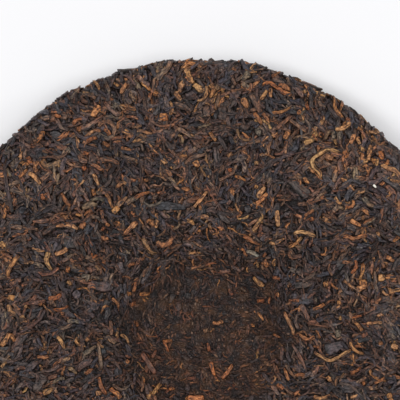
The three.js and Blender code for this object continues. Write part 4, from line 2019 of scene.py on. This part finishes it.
# %% [markdown]
# The stage: a plain pale floor, a pale room with a wide bright ceiling, and a soft lamp on either side,
# as on a copying stand. The left lamp is the stronger and gives the short shadow on the right. The
# right lamp stands lower, so its faint shadow on the left is wider. All of them are far off, so the
# floor is lit evenly.

# %% Floor and light
FLOOR_SIDE = 6.0
LAMPS = (  # name, where it is, how wide it looks from the cake in degrees, strength
    ("left_lamp", (-1, 0, 1.1), 16, 0.75),
    ("right_lamp", (1, 0.1, 0.62), 16, 0.4),
    ("ceiling", (0, 0, 1), 60, 1.62),
)
ROOM_STRENGTH = 0.37


def add_floor():
    half = FLOOR_SIDE / 2
    mesh = bpy.data.meshes.new("floor")
    corners = [(-half, -half, 0), (half, -half, 0), (half, half, 0), (-half, half, 0)]
    mesh.from_pydata(corners, [], [(0, 1, 2, 3)])
    floor = bpy.data.objects.new("floor", mesh)
    bpy.context.scene.collection.objects.link(floor)
    material = bpy.data.materials.new("matte_white_table")
    material.use_nodes = True
    tree = material.node_tree
    tree.nodes.clear()
    surface = add(tree, "ShaderNodeBsdfPrincipled", {"Base Color": linear("#efeff1"), "Roughness": 0.9})
    add(tree, "ShaderNodeOutputMaterial", {}, {"Surface": (surface, "BSDF")})
    mesh.materials.append(material)


def add_light():
    for name, place, width, strength in LAMPS:
        data = bpy.data.lights.new(name, "SUN")
        data.angle, data.energy = math.radians(width), strength
        lamp = bpy.data.objects.new(name, data)
        lamp.location = place
        lamp.rotation_euler = (-Vector(place)).to_track_quat("-Z", "Y").to_euler()
        bpy.context.scene.collection.objects.link(lamp)
    world = bpy.data.worlds.new("bright_room")
    bpy.context.scene.world = world
    world.use_nodes = True
    world.node_tree.nodes.clear()
    room = add(world.node_tree, "ShaderNodeBackground", {"Strength": ROOM_STRENGTH, "Color": (1, 1, 1, 1)})
    add(world.node_tree, "ShaderNodeOutputWorld", {}, {"Surface": (room, "Background")})


add_floor()
add_light()
bpy.context.scene.view_settings.view_transform = "Standard"
print("Lamps:", ", ".join(name for name, *_ in LAMPS))

# %% [markdown]
# Last, every piece rides on the cake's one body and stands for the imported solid. The guide and the leaf
# libraries have done their work and go.

# %% Hand the pieces over
PIECE_SLOTS = (
    (cake_body, "dark_leaf"),
    (leaf_crumbs, "dark_leaf"),
    (dark_strips, "dark_leaf"),
    (brown_strips, "brown_leaf"),
    (dark_curls, "dark_leaf"),
    (brown_curls, "brown_leaf"),
    (dark_blades, "dark_leaf"),
    (leaf_stems, "leaf_stem"),
    (golden_buds, "golden_bud"),
    (rim_ends, "dark_leaf"),
    (placed_gold, "golden_bud"),
    (placed_amber, "leaf_stem"),
    (placed_olive, "leaf_stem"),
    (placed_brown, "brown_leaf"),
    (placed_dark, "dark_leaf"),
    (calm_blades, "dark_leaf"),
    (husk, "leaf_stem"),
    (flecks, "leaf_stem"),
)
for piece, slot in PIECE_SLOTS:
    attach(piece, "root")
    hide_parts(CAKE_NODE)
bpy.data.objects.remove(guide)
for library in list(bpy.data.collections):
    if library.name.endswith("_shapes"):
        for shape in list(library.objects):
            bpy.data.objects.remove(shape)
        bpy.data.collections.remove(library)
